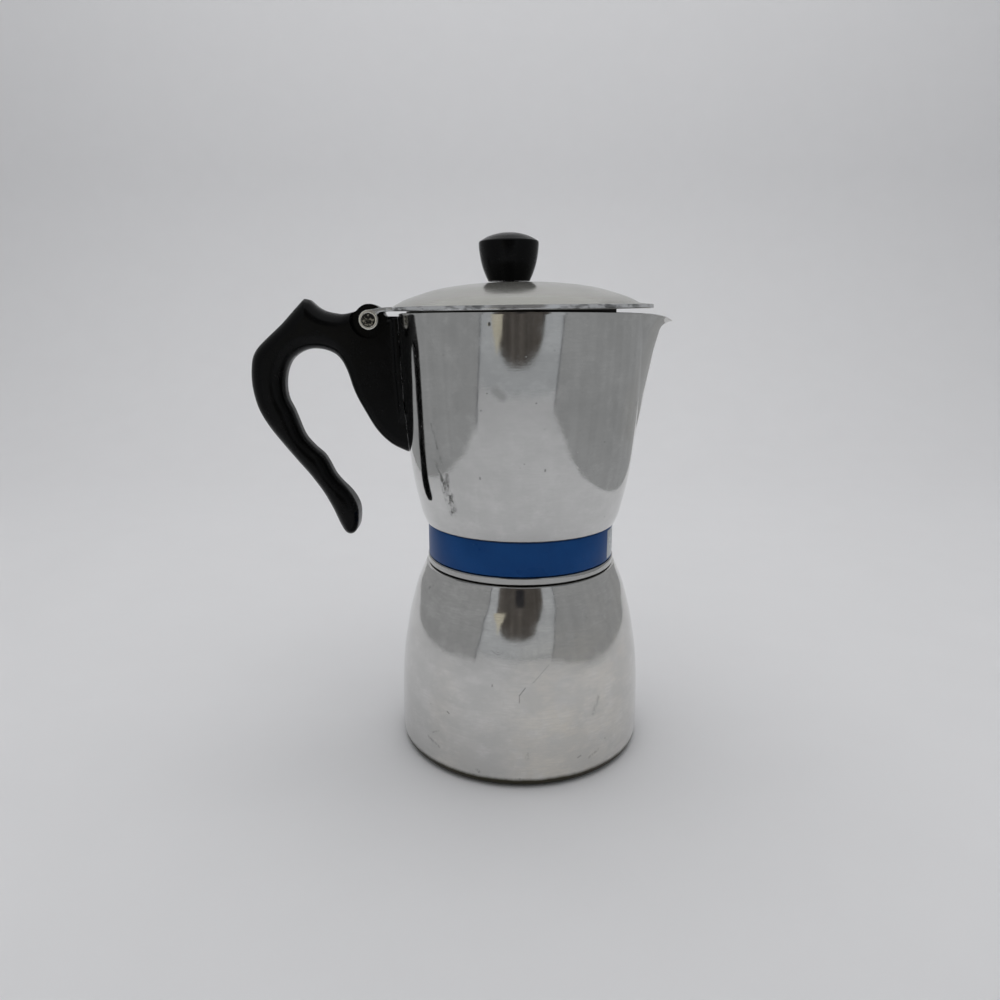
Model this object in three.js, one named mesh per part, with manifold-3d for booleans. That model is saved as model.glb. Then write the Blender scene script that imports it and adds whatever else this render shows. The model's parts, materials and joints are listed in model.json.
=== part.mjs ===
// A six-cup stovetop moka pot, in millimetres, +Z up.
// The origin is the centre of the flat base. The spout points to +X and the handle to -X.
// Heights below are measured from the level where the boiler's wall meets the rounded corner of its base;
// the finished pot is lifted by that corner, so that it stands on z = 0.
import * as THREE from 'three';
import { mergeVertices } from 'three/addons/utils/BufferGeometryUtils.js';
import Module from 'manifold-3d';

const wasm = await Module();
wasm.setup();

// ---------- driving dimensions ----------
const GAP = 0.3; // clearance between touching pieces
const ROUND = 40; // facets round the large shells
const ROUND_INNER = 28; // facets round the inner pieces
const ROUND_SMALL = 12; // facets round screws, pins and bores

// Outer walls as [radius, height] stations
const BOILER_WALL = [
  [52.8, 12], [52.4, 25], [51.6, 35], [50.1, 45], [48.6, 53], [46.8, 60], [44.7, 67], [42.6, 72], [41.3, 75],
];
const VESSEL_WALL = [
  [40.7, 94], [42.3, 98], [43.5, 103], [44.9, 109], [46.1, 116], [47.1, 124],
  [48.0, 133], [48.8, 142], [49.5, 152], [50.1, 165], [50.5, 180],
];
const SPOUT_RIDGE = [
  [48.0, 131], [49.9, 138], [51.3, 145], [53.6, 158], [54.9, 165], [56.4, 171], [57.8, 175], [62.3, 180],
];

const BASE_CORNER = 4.5; // radius of the rounded corner under the wall
const BASE_THICKNESS = 5.7; // thick enough for an electric plate
const BOILER_WALL_THICKNESS = 2.6;
const BOILER_MOUTH_Z = 74.5; // where the inside of the neck widens into the boiler
const SHOULDER_Z = 75.9;
const NECK_TOP_Z = 91;
const NECK_RADIUS = 34.2;
const MOUTH_RADIUS = 30.8;
const THREAD_PITCH = 3.2;
const THREAD_TURNS = 2;
const THREAD_START_Z = 79.4;
const THREAD_DEPTH = 1.1;

const VESSEL_WALL_THICKNESS = 2.2;
const SKIRT_BOTTOM_Z = 76.4;
const SKIRT_FLANGE_TOP_Z = 79.3;
const SKIRT_FLANGE_RADIUS = 40.3;
const SKIRT_BORE = 35.7;
const SKIRT_BORE_TOP_Z = 92.1;
const BAND_SEAT_RADIUS = 38.3;
const WAIST_Z = 94;
const GASKET_SEAT_Z = 96.7;
const GASKET_SEAT_RADIUS = 33.2;
const FLOOR_HOLE_RADIUS = 7.3;
const FLOOR_UNDERSIDE_Z = 98.2;
const FLOOR_Z = 101;
const RIM_Z = 180;
const LIP_DROP = 2.8; // how far the tip of the spout curls down
const LIP_INNER_SHARE = 0.45; // and how much of that its inside follows
const SPOUT_START_Z = 131;
const SPOUT_HALF_ANGLE = 25 * Math.PI / 180;
const SPOUT_ROOT_ANGLE = 12 * Math.PI / 180;
const SPOUT_STEPS = 4; // facets from the ridge of the spout to each crease

const BAND_OUTER_RADIUS = 39.9;
const BAND_TOP_Z = 93.4;

const VALVE_Z = 50;
const VALVE_FACE_Y = 50.6;
const VALVE_BOSS_RADIUS = 8.5;
const VALVE_INNER_FACE_Y = 43.7;
const VALVE_SHANK_RADIUS = 4;
const VALVE_INNER_END = -12.4;
const VALVE_OUTER_END = 9;
const VALVE_CHAMBER_RADIUS = 2.9;
const VALVE_SEAT_DEPTH = -6;
const VALVE_BORE_RADIUS = 1.5;
const VALVE_RIM_RADIUS = 4.6;
const HEXAGON_RADIUS = 6.9; // across the corners, halved
const WASHER_RADIUS = 7;
const VALVE_NUT_HEIGHT = 3.5;
const VALVE_STEM_RADIUS = 0.9;
const VALVE_HEAD_RADIUS = 2.4;

const FUNNEL_BASKET_RADIUS = 29.8;
const FUNNEL_SHEET = 0.9;
const FUNNEL_FLOOR_Z = 66.5;
const FUNNEL_STEM_RADIUS = 5;
const FUNNEL_STEM_BOTTOM_Z = 9;
const FUNNEL_FLANGE_RADIUS = 32.8;
const FUNNEL_FLANGE = 1;
const SIEVE_RADIUS = 27.6;
const SIEVE_Z = FUNNEL_FLOOR_Z + 1.1;
const SIEVE_THICKNESS = 0.6;

const GASKET_Z = NECK_TOP_Z + GAP + FUNNEL_FLANGE + GAP + 0.1;
const GASKET_INNER_RADIUS = 25.5;
const GASKET_POCKET_RADIUS = 27; // the filter plate sits in this pocket
const GASKET_OUTER_RADIUS = 32.8;
const GASKET_LIP = 1.4;
const FILTER_RADIUS = 26.7;
const FILTER_Z = GASKET_Z + GASKET_LIP + GAP;
const FILTER_THICKNESS = 0.8;

const COLUMN_TOP_Z = 155;
const COLUMN_FOOT_RADIUS = 7;
const COLUMN_BORE_RADIUS = 4.8;
const COLUMN_FLANGE_RADIUS = 10;
const COLUMN_COLLAR_RADIUS = 8.4;
const COLUMN_SLOT_WIDTH = 3;
const COLUMN_SLOT_Z = [139, 147];

const HINGE_X = -62;
const HINGE_Z = 177.7;
const PIN_RADIUS = 2.5;
const PIN_HALF_LENGTH = 7.6;
const EAR_RADIUS = 6.3;
const EAR_HALF_WIDTH = 4;
const KNUCKLE_RADIUS = 3.9;
const KNUCKLE_INNER_Y = 4.3;
const KNUCKLE_OUTER_Y = 7.3;

const HANDLE_HALF_WIDTH = 7.5;
const HANDLE_EDGE_ROUND = 3;
const HANDLE_EDGE_INSET = 2.4;
const HANDLE_PAD_THICKNESS = 2.4;
const HANDLE_TOP_Z = 179;
const HANDLE_ROOT_X = -44; // inside the vessel's wall, where the handle is trimmed to fit
const KNUCKLE_RECESS = 3.6; // clearance round the lid's knuckles
const HANDLE_SCREW_HEIGHTS = [164, 142];
const INSERT_LENGTH = 8;
const INSERT_RADIUS = 3.4;
const SCREW_RADIUS = 2;
const SCREW_HOLE_RADIUS = 2.4;
const SCREW_HEAD_RADIUS = 3.7;
const SCREW_HEAD_HEIGHT = 2.2;

const LID_CENTRE_X = -2;
const LID_RADIUS = 50.8;
const LID_BEAK_REACH = 56.3; // from the lid's centre to the tip of the beak
const LID_BOTTOM_Z = 180.9;
const LID_SHEET = 1.7;
const LID_SKIRT_RADIUS = 47;
const LID_SKIRT_DEPTH = 1.8;
const LID_SKIRT_END_X = 34.2; // the skirt stops here, clear of the spout
const LID_TILT = 0.7 * Math.PI / 180; // the shut lid stands a little proud at the spout
const LID_SAG = 1.1 * Math.PI / 180; // and leans a little in its worn hinge
const LID_DOME = [[0, 191.9], [17, 191.3], [32, 189.3], [41, 186.8], [46, 185], [49, 183.5]];
const KNOB_X = -5;

// ---------- materials ----------
function material(colour, roughness, metalness) {
  return new THREE.MeshStandardMaterial({ color: colour, roughness, metalness });
}

const polishedAluminium = () => material(0xc4c6c8, 0.22, 1);
const satinAluminium = () => material(0xb4b3ae, 0.42, 1);
const brass = () => material(0xb08d4a, 0.35, 1);
const steel = () => material(0x9a9c9e, 0.3, 1);
const bakelite = () => material(0x121212, 0.35, 0);
const rubber = () => material(0xd8d4c8, 0.8, 0);
const fibre = () => material(0x7c3328, 0.8, 0);
const bluePaint = () => material(0x164a86, 0.4, 0.2);

// ---------- solids and booleans ----------
function signedVolume(geometry) {
  const position = geometry.getAttribute('position');
  const index = geometry.getIndex();
  const corners = [new THREE.Vector3(), new THREE.Vector3(), new THREE.Vector3()];
  let volume = 0;
  for (let i = 0; i < index.count; i += 3) {
    corners.forEach((corner, k) => corner.fromBufferAttribute(position, index.getX(i + k)));
    volume += corners[0].dot(corners[1].clone().cross(corners[2])) / 6;
  }
  return volume;
}

// Shares the vertices, drops collapsed triangles and turns the faces outwards.
function weld(geometry) {
  const bare = new THREE.BufferGeometry();
  bare.setAttribute('position', geometry.getAttribute('position').clone());
  bare.setIndex(geometry.getIndex());
  const merged = mergeVertices(bare, 1e-4);
  const source = merged.getIndex();
  const kept = [];
  for (let i = 0; i < source.count; i += 3) {
    const [a, b, c] = [source.getX(i), source.getX(i + 1), source.getX(i + 2)];
    if (a !== b && b !== c && c !== a) {
      kept.push(a, b, c);
    }
  }
  merged.setIndex(kept);
  if (signedVolume(merged) < 0) {
    merged.setIndex(kept.reverse());
  }
  return merged;
}

function solid(geometry) {
  const welded = weld(geometry);
  const vertProperties = new Float32Array(welded.getAttribute('position').array);
  const triVerts = new Uint32Array(welded.getIndex().array);
  return new wasm.Manifold(new wasm.Mesh({ numProp: 3, vertProperties, triVerts }));
}

function fromSolid(manifold) {
  const { vertProperties, triVerts } = manifold.getMesh();
  const geometry = new THREE.BufferGeometry();
  geometry.setAttribute('position', new THREE.BufferAttribute(vertProperties, 3));
  geometry.setIndex(new THREE.BufferAttribute(triVerts, 1));
  return geometry;
}

function cut(base, ...tools) {
  return tools.reduce((result, tool) => result.subtract(tool), base);
}

function join(base, ...others) {
  return others.reduce((result, other) => result.add(other), base);
}

// ---------- shape helpers ----------
// Turns [radius, height] points about the Z axis.
function turned(profile, facets) {
  const points = profile.map(([radius, height]) => new THREE.Vector2(radius, height));
  return weld(new THREE.LatheGeometry(points, facets).rotateX(Math.PI / 2));
}

// The same for a profile that never touches the axis.
function turnedRing(profile, facets) {
  return turned([...profile, profile[0]], facets);
}

function polygonPath(Kind, x, y, radius, sides, phase = 0) {
  const path = new Kind();
  for (let i = 0; i < sides; i += 1) {
    const angle = phase + 2 * Math.PI * i / sides;
    const [px, py] = [x + radius * Math.cos(angle), y + radius * Math.sin(angle)];
    if (i === 0) {
      path.moveTo(px, py);
    } else {
      path.lineTo(px, py);
    }
  }
  path.closePath();
  return path;
}

// A prism standing on the XY plane from one height to another.
function prism(shape, bottom, top) {
  const options = { depth: top - bottom, bevelEnabled: false, curveSegments: 8 };
  return new THREE.ExtrudeGeometry(shape, options).translate(0, 0, bottom);
}

// A prism of a shape drawn in X and Z, between two places along Y.
function sidePrism(shape, fromY, toY) {
  const options = { depth: toY - fromY, bevelEnabled: false, curveSegments: 8 };
  return new THREE.ExtrudeGeometry(shape, options).rotateX(Math.PI / 2).translate(0, toY, 0);
}

function rod(radius, fromEnd, toEnd, axis, centre, facets = ROUND_SMALL) {
  const geometry = new THREE.CylinderGeometry(radius, radius, toEnd - fromEnd, facets);
  geometry.translate(0, (fromEnd + toEnd) / 2, 0);
  if (axis === 'x') {
    geometry.rotateZ(-Math.PI / 2);
  } else if (axis === 'z') {
    geometry.rotateX(Math.PI / 2);
  }
  return geometry.translate(...centre);
}

function box(fromX, toX, fromY, toY, fromZ, toZ) {
  const geometry = new THREE.BoxGeometry(toX - fromX, toY - fromY, toZ - fromZ);
  return geometry.translate((fromX + toX) / 2, (fromY + toY) / 2, (fromZ + toZ) / 2);
}

// Skins a row of equal rings of points; an open row gets a fan over each end.
function loft(rings, closed) {
  const count = rings[0].length;
  const spans = closed ? rings.length : rings.length - 1;
  const indices = [];
  for (let i = 0; i < spans; i += 1) {
    const here = i * count;
    const next = ((i + 1) % rings.length) * count;
    for (let k = 0; k < count; k += 1) {
      const after = (k + 1) % count;
      indices.push(here + k, here + after, next + k);
      indices.push(here + after, next + after, next + k);
    }
  }
  if (!closed) {
    const last = (rings.length - 1) * count;
    for (let k = 1; k < count - 1; k += 1) {
      indices.push(0, k + 1, k);
      indices.push(last, last + k, last + k + 1);
    }
  }
  const geometry = new THREE.BufferGeometry();
  geometry.setAttribute('position', new THREE.Float32BufferAttribute(rings.flat(2), 3));
  geometry.setIndex(indices);
  return weld(geometry);
}

function radiusAt(stations, height) {
  const clamped = THREE.MathUtils.clamp(height, stations[0][1], stations.at(-1)[1]);
  const upper = Math.max(1, stations.findIndex(([, z]) => z >= clamped));
  const [lowRadius, lowZ] = stations[upper - 1];
  const [highRadius, highZ] = stations[upper];
  return THREE.MathUtils.mapLinear(clamped, lowZ, highZ, lowRadius, highRadius);
}

// One level of a round wall with a V-shaped spout towards +X.
// 'reach' is how far the ridge of the spout stands from the axis, 'drop' how far its edge curls down.
function spoutedRing({
  radius, height, reach = radius, halfAngle = SPOUT_ROOT_ANGLE, sharpness = 0, drop = 0,
}) {
  const ring = [];
  const crease = [radius * Math.cos(halfAngle), radius * Math.sin(halfAngle)];
  const power = 2 - 0.8 * sharpness;
  for (let i = -SPOUT_STEPS; i <= SPOUT_STEPS; i += 1) {
    const t = i / SPOUT_STEPS;
    const x = reach - (reach - crease[0]) * Math.abs(t) ** power;
    ring.push([x, crease[1] * t, height - drop * (1 - Math.abs(t)) ** 2]);
  }
  const rest = ROUND - 2 * SPOUT_STEPS;
  for (let i = 1; i < rest; i += 1) {
    const angle = halfAngle + (2 * Math.PI - 2 * halfAngle) * i / rest;
    ring.push([radius * Math.cos(angle), radius * Math.sin(angle), height]);
  }
  return ring;
}

// A helical ridge of triangular section round the Z axis.
function helicalRidge(rootRadius, crestRadius, startZ) {
  const steps = Math.round(THREAD_TURNS * 24);
  const halfBase = 0.9;
  const sections = [];
  for (let i = 0; i <= steps; i += 1) {
    const turn = THREAD_TURNS * i / steps;
    const z = startZ + THREAD_PITCH * turn;
    const [cos, sin] = [Math.cos(2 * Math.PI * turn), Math.sin(2 * Math.PI * turn)];
    const section = [[rootRadius, z - halfBase], [crestRadius, z], [rootRadius, z + halfBase]];
    sections.push(section.map(([r, height]) => [r * cos, r * sin, height]));
  }
  return loft(sections, false);
}

// ---------- boiler ----------
function boilerProfile() {
  const baseRadius = BOILER_WALL[0][0];
  const flatRadius = baseRadius - BASE_CORNER;
  const corner = [0, 0.33, 0.67, 1].map((t) => {
    const angle = t * Math.PI / 2;
    return [flatRadius + BASE_CORNER * Math.sin(angle), -BASE_CORNER * Math.cos(angle)];
  });
  const stations = BOILER_WALL.filter((_, i) => i % 2 === 1);
  const inside = stations.map(([r, z]) => [r - BOILER_WALL_THICKNESS, z - 1]);
  const floor = BASE_THICKNESS - BASE_CORNER;
  const chamfer = 0.6;
  return [
    [0, -BASE_CORNER], ...corner, ...BOILER_WALL,
    [40.6, SHOULDER_Z], [NECK_RADIUS, SHOULDER_Z], [NECK_RADIUS, NECK_TOP_Z - chamfer],
    [NECK_RADIUS - chamfer, NECK_TOP_Z], [MOUTH_RADIUS, NECK_TOP_Z], [MOUTH_RADIUS, BOILER_MOUTH_Z],
    ...inside.reverse(), [baseRadius - BOILER_WALL_THICKNESS, floor + 1.6], [flatRadius, floor], [0, floor],
  ];
}

function boilerGeometry() {
  const shell = solid(turned(boilerProfile(), ROUND));
  const thread = solid(helicalRidge(NECK_RADIUS - 0.4, NECK_RADIUS + THREAD_DEPTH, THREAD_START_Z));
  const centre = [0, 0, VALVE_Z];
  const boss = solid(rod(VALVE_BOSS_RADIUS, 46, VALVE_FACE_Y, 'y', centre, 24));
  const innerBoss = solid(rod(VALVE_BOSS_RADIUS - 1, VALVE_INNER_FACE_Y, 47, 'y', centre, 24));
  const spotFace = solid(rod(VALVE_BOSS_RADIUS, VALVE_FACE_Y, 56, 'y', centre, 24));
  const bore = solid(rod(VALVE_SHANK_RADIUS + GAP, 40, 56, 'y', centre));
  return fromSolid(cut(join(shell, thread, boss, innerBoss), spotFace, bore));
}

// ---------- safety valve, turned about its own axis with the boss face at zero ----------
function valveBodyGeometry() {
  const barrel = solid(turnedRing([
    [VALVE_BORE_RADIUS, VALVE_INNER_END], [VALVE_SHANK_RADIUS, VALVE_INNER_END], [VALVE_SHANK_RADIUS, 3],
    [VALVE_RIM_RADIUS, 3], [VALVE_RIM_RADIUS, VALVE_OUTER_END - 0.5],
    [VALVE_RIM_RADIUS - 0.5, VALVE_OUTER_END],
    [VALVE_CHAMBER_RADIUS, VALVE_OUTER_END], [VALVE_CHAMBER_RADIUS, VALVE_SEAT_DEPTH],
    [VALVE_BORE_RADIUS, VALVE_SEAT_DEPTH],
  ], ROUND_SMALL));
  const [bottom, top] = [1.6, 5.6];
  const hexagon = solid(prism(polygonPath(THREE.Shape, 0, 0, HEXAGON_RADIUS, 6), bottom, top));
  const hollow = solid(rod(VALVE_SHANK_RADIUS - 0.5, bottom - 1, top + 1, 'z', [0, 0, 0]));
  return fromSolid(join(barrel, cut(hexagon, hollow)));
}

function valvePinGeometry() {
  const [headBottom, headTop, end] = [-5.7, -4.5, 10.5];
  return turned([
    [0, headBottom], [VALVE_HEAD_RADIUS - 0.8, headBottom], [VALVE_HEAD_RADIUS, headBottom + 0.6],
    [VALVE_HEAD_RADIUS, headTop], [VALVE_STEM_RADIUS, headTop], [VALVE_STEM_RADIUS, end - 0.5],
    [VALVE_STEM_RADIUS - 0.4, end], [0, end],
  ], ROUND_SMALL);
}

function springGeometry() {
  const [bottom, top, turns, coilRadius, wireRadius] = [-3.9, 6.8, 6, 1.8, 0.28];
  const points = [];
  const steps = turns * 10;
  for (let i = 0; i <= steps; i += 1) {
    const angle = 2 * Math.PI * turns * i / steps;
    const z = bottom + (top - bottom) * i / steps;
    points.push(new THREE.Vector3(coilRadius * Math.cos(angle), coilRadius * Math.sin(angle), z));
  }
  const wire = polygonPath(THREE.Shape, 0, 0, wireRadius, 5);
  const extrudePath = new THREE.CatmullRomCurve3(points);
  return new THREE.ExtrudeGeometry(wire, { extrudePath, steps, bevelEnabled: false });
}

function valveNutGeometry() {
  const nut = polygonPath(THREE.Shape, 0, 0, HEXAGON_RADIUS, 6);
  nut.holes.push(polygonPath(THREE.Path, 0, 0, VALVE_SHANK_RADIUS + GAP, ROUND_SMALL));
  const top = VALVE_INNER_FACE_Y - VALVE_FACE_Y - GAP;
  return prism(nut, top - VALVE_NUT_HEIGHT, top);
}

function ringPlate(innerRadius, outerRadius, bottom, top, facets = ROUND_SMALL) {
  return turnedRing([
    [innerRadius, bottom], [outerRadius, bottom], [outerRadius, top], [innerRadius, top],
  ], facets);
}

// ---------- coffee funnel and its sieve ----------
function funnelGeometry() {
  const stemInner = FUNNEL_STEM_RADIUS - FUNNEL_SHEET;
  const basketInner = FUNNEL_BASKET_RADIUS - FUNNEL_SHEET;
  const flangeZ = NECK_TOP_Z + GAP;
  return turnedRing([
    [stemInner, FUNNEL_STEM_BOTTOM_Z], [FUNNEL_STEM_RADIUS, FUNNEL_STEM_BOTTOM_Z],
    [FUNNEL_STEM_RADIUS, FUNNEL_FLOOR_Z - 3], [FUNNEL_STEM_RADIUS + 1.5, FUNNEL_FLOOR_Z - 1.5],
    [27.6, FUNNEL_FLOOR_Z - 0.9], [28.9, FUNNEL_FLOOR_Z + 0.4], [FUNNEL_BASKET_RADIUS, flangeZ],
    [FUNNEL_FLANGE_RADIUS, flangeZ], [FUNNEL_FLANGE_RADIUS, flangeZ + FUNNEL_FLANGE],
    [basketInner, flangeZ + FUNNEL_FLANGE], [28.1, FUNNEL_FLOOR_Z + 0.8],
    [27.4, FUNNEL_FLOOR_Z], [FUNNEL_STEM_RADIUS + 1, FUNNEL_FLOOR_Z - 0.6], [stemInner, FUNNEL_FLOOR_Z - 2.4],
  ], ROUND_INNER);
}

// A round plate with rings of small holes.
function sievePlate(radius, bottom, top, ringCount, holeRadius) {
  const plate = polygonPath(THREE.Shape, 0, 0, radius, ROUND_INNER);
  const spacing = (radius - 3) / ringCount;
  for (let ring = 0; ring <= ringCount; ring += 1) {
    const holes = Math.max(1, 6 * ring);
    for (let i = 0; i < holes; i += 1) {
      const angle = 2 * Math.PI * i / holes;
      const [x, y] = [spacing * ring * Math.cos(angle), spacing * ring * Math.sin(angle)];
      plate.holes.push(polygonPath(THREE.Path, x, y, holeRadius, 4));
    }
  }
  return prism(plate, bottom, top);
}

// ---------- gasket ----------
function gasketGeometry() {
  const [pocketZ, top] = [GASKET_Z + GASKET_LIP, GASKET_SEAT_Z - GAP];
  return turnedRing([
    [GASKET_INNER_RADIUS, GASKET_Z], [GASKET_OUTER_RADIUS, GASKET_Z], [GASKET_OUTER_RADIUS, top],
    [GASKET_POCKET_RADIUS, top], [GASKET_POCKET_RADIUS, pocketZ], [GASKET_INNER_RADIUS, pocketZ],
  ], ROUND_INNER);
}

// ---------- upper vessel ----------
function vesselLevel(height, inset) {
  const rise = Math.max(0, (height - SPOUT_START_Z) / (RIM_Z - SPOUT_START_Z));
  const radius = radiusAt(VESSEL_WALL, height) - inset;
  const ridge = height < SPOUT_START_Z ? radius : Math.max(radius, radiusAt(SPOUT_RIDGE, height) - inset);
  const drop = height === RIM_Z ? LIP_DROP * (inset > 0 ? LIP_INNER_SHARE : 1) : 0;
  return spoutedRing({
    radius,
    height,
    reach: ridge,
    halfAngle: THREE.MathUtils.lerp(SPOUT_ROOT_ANGLE, SPOUT_HALF_ANGLE, rise),
    sharpness: rise > 0 ? Math.min(1, rise * 3) : 0,
    drop,
  });
}

function vesselRings() {
  const outsideHeights = [98, 103, 109, 116, 124, 133, 145, 158, 168, 175, RIM_Z];
  const insideHeights = [RIM_Z, 174, 160, 140, 120, 106];
  const lowRings = [
    [FLOOR_HOLE_RADIUS, FLOOR_UNDERSIDE_Z], [24, FLOOR_UNDERSIDE_Z], [25, GASKET_SEAT_Z],
    [GASKET_SEAT_RADIUS, GASKET_SEAT_Z],
    [GASKET_SEAT_RADIUS, SKIRT_BORE_TOP_Z], [SKIRT_BORE, SKIRT_BORE_TOP_Z], [SKIRT_BORE, SKIRT_BOTTOM_Z + 1],
    [SKIRT_BORE + 1, SKIRT_BOTTOM_Z], [SKIRT_FLANGE_RADIUS - 0.4, SKIRT_BOTTOM_Z],
    [SKIRT_FLANGE_RADIUS, SKIRT_BOTTOM_Z + 0.4], [SKIRT_FLANGE_RADIUS, SKIRT_FLANGE_TOP_Z],
    [BAND_SEAT_RADIUS, SKIRT_FLANGE_TOP_Z], [BAND_SEAT_RADIUS, WAIST_Z], [VESSEL_WALL[0][0], WAIST_Z],
  ];
  return [
    ...lowRings.map(([radius, height]) => spoutedRing({ radius, height })),
    ...outsideHeights.map((height) => vesselLevel(height, 0)),
    ...insideHeights.map((height) => vesselLevel(height, VESSEL_WALL_THICKNESS)),
    spoutedRing({ radius: 38.6, height: FLOOR_Z }),
    spoutedRing({ radius: FLOOR_HOLE_RADIUS, height: FLOOR_Z }),
  ];
}

function vesselGeometry() {
  const shell = solid(loft(vesselRings(), true));
  const thread = solid(helicalRidge(SKIRT_BORE - 0.4, SKIRT_BORE + 1, THREAD_START_Z + 0.4));
  const screwHoles = HANDLE_SCREW_HEIGHTS.map((z) => solid(rod(SCREW_HOLE_RADIUS, -60, -40, 'x', [0, 0, z])));
  return fromSolid(cut(shell, thread, ...screwHoles));
}

// ---------- coffee column ----------
function columnGeometry() {
  const flangeTop = FLOOR_UNDERSIDE_Z - GAP;
  const flangeBottom = flangeTop - 0.9;
  const collarBottom = FLOOR_Z + GAP;
  const outside = [
    [COLUMN_FLANGE_RADIUS, flangeBottom], [COLUMN_FLANGE_RADIUS, flangeTop], [COLUMN_FOOT_RADIUS, flangeTop],
    [COLUMN_FOOT_RADIUS, collarBottom], [COLUMN_COLLAR_RADIUS, collarBottom],
    [COLUMN_COLLAR_RADIUS, collarBottom + 0.9], [COLUMN_FOOT_RADIUS - 0.4, collarBottom + 2.7],
    [5.2, COLUMN_TOP_Z - 6], [4.2, COLUMN_TOP_Z - 2], [1.8, COLUMN_TOP_Z - 0.4], [0, COLUMN_TOP_Z],
  ];
  const inside = [
    [0, COLUMN_TOP_Z - 2.2], [2.6, COLUMN_TOP_Z - 3.4], [3.5, COLUMN_TOP_Z - 6],
    [COLUMN_BORE_RADIUS, FLOOR_Z + 3], [COLUMN_BORE_RADIUS, flangeBottom],
  ];
  const tube = solid(turned([...inside, ...outside], 24));
  const halfSlot = COLUMN_SLOT_WIDTH / 2;
  return fromSolid(cut(tube, solid(box(-8, 8, -halfSlot, halfSlot, ...COLUMN_SLOT_Z))));
}

// ---------- handle ----------
const HANDLE_TOP = [[-71, 180.2], [-74, 180], [-79.6, 181], [-83.1, 182.7], [-87.8, 186.8]];
const HANDLE_BACK = [
  [-92.5, 182.2], [-98.6, 175.9], [-105.7, 169.6], [-109.4, 165.8], [-111.5, 161.4],
  [-112.4, 153.8], [-111.6, 146.8], [-109.7, 140.2], [-106, 133.5], [-101, 126.7], [-95.6, 119.9],
  [-90, 113], [-85.1, 106], [-81.3, 98.9], [-78.3, 91.8],
];
const HANDLE_FINGERS = [
  [-74.2, 86.9], [-70.2, 90.6], [-69.6, 95], [-70.1, 99.8], [-72.9, 105.4], [-78.9, 112.6], [-81.7, 118.1],
  [-84, 121.9], [-87.6, 125.2], [-91.5, 129.9], [-93.9, 136], [-95.7, 141], [-97.9, 146], [-98.4, 152],
];
const HANDLE_LOOP = [
  [-97.1, 158], [-94.2, 162.6], [-88.8, 165.6], [-83.2, 166], [-78.2, 164.6], [-74.7, 161.9], [-72, 157],
  [-69.3, 149], [-65.2, 140.8], [-60.3, 132.6], [-54.5, 126.9], [-47.8, 123.4],
];

function handleOutline() {
  const vectors = (points) => points.map(([x, z]) => new THREE.Vector2(x, z));
  const shape = new THREE.Shape();
  shape.moveTo(HANDLE_ROOT_X, HANDLE_TOP_Z);
  shape.lineTo(-55.6, HANDLE_TOP_Z);
  shape.absarc(HINGE_X, HINGE_Z, EAR_RADIUS, 0.2, 2.6, false);
  shape.splineThru(vectors(HANDLE_TOP));
  shape.splineThru(vectors(HANDLE_BACK));
  shape.splineThru(vectors(HANDLE_FINGERS));
  shape.splineThru(vectors(HANDLE_LOOP));
  shape.lineTo(HANDLE_ROOT_X, 123);
  shape.closePath();
  return new THREE.Shape(handlePoints(shape));
}

// Lines keep their ends only, curves are sampled, and samples that crowd together are dropped.
function handlePoints(shape) {
  const kept = [];
  for (const curve of shape.curves) {
    const steps = { LineCurve: 1, EllipseCurve: 8 }[curve.type] ?? Math.round(curve.points.length * 1.5);
    for (const point of curve.getPoints(steps)) {
      const clear = (other) => point.distanceTo(other) > 1.6;
      if (kept.length === 0 || (clear(kept.at(-1)) && clear(kept[0]))) {
        kept.push(point);
      }
    }
  }
  return kept;
}

// A solid of the vessel's outer wall, grown by a margin.
function vesselEnvelope(margin) {
  const wall = VESSEL_WALL.map(([radius, z]) => [radius + margin, z]);
  const top = VESSEL_WALL.at(-1)[0] + margin;
  const aboveRim = RIM_Z + 10;
  return solid(turned([[0, WAIST_Z], ...wall, [top, aboveRim], [0, aboveRim]], 96));
}

// The pad that beds the handle on the vessel's wall, a shield shape seen along X.
function handlePad() {
  const shield = new THREE.Shape();
  shield.moveTo(-9.5, 178.6);
  shield.lineTo(-9.5, 150);
  shield.quadraticCurveTo(-9, 131, 0, 126);
  shield.quadraticCurveTo(9, 131, 9.5, 150);
  shield.lineTo(9.5, 178.6);
  shield.closePath();
  const options = { depth: 20, bevelEnabled: false, curveSegments: 6 };
  const plug = new THREE.ExtrudeGeometry(shield, options);
  plug.rotateX(Math.PI / 2).rotateZ(Math.PI / 2).translate(-60, 0, 0);
  return solid(plug).intersect(vesselEnvelope(HANDLE_PAD_THICKNESS));
}

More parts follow.
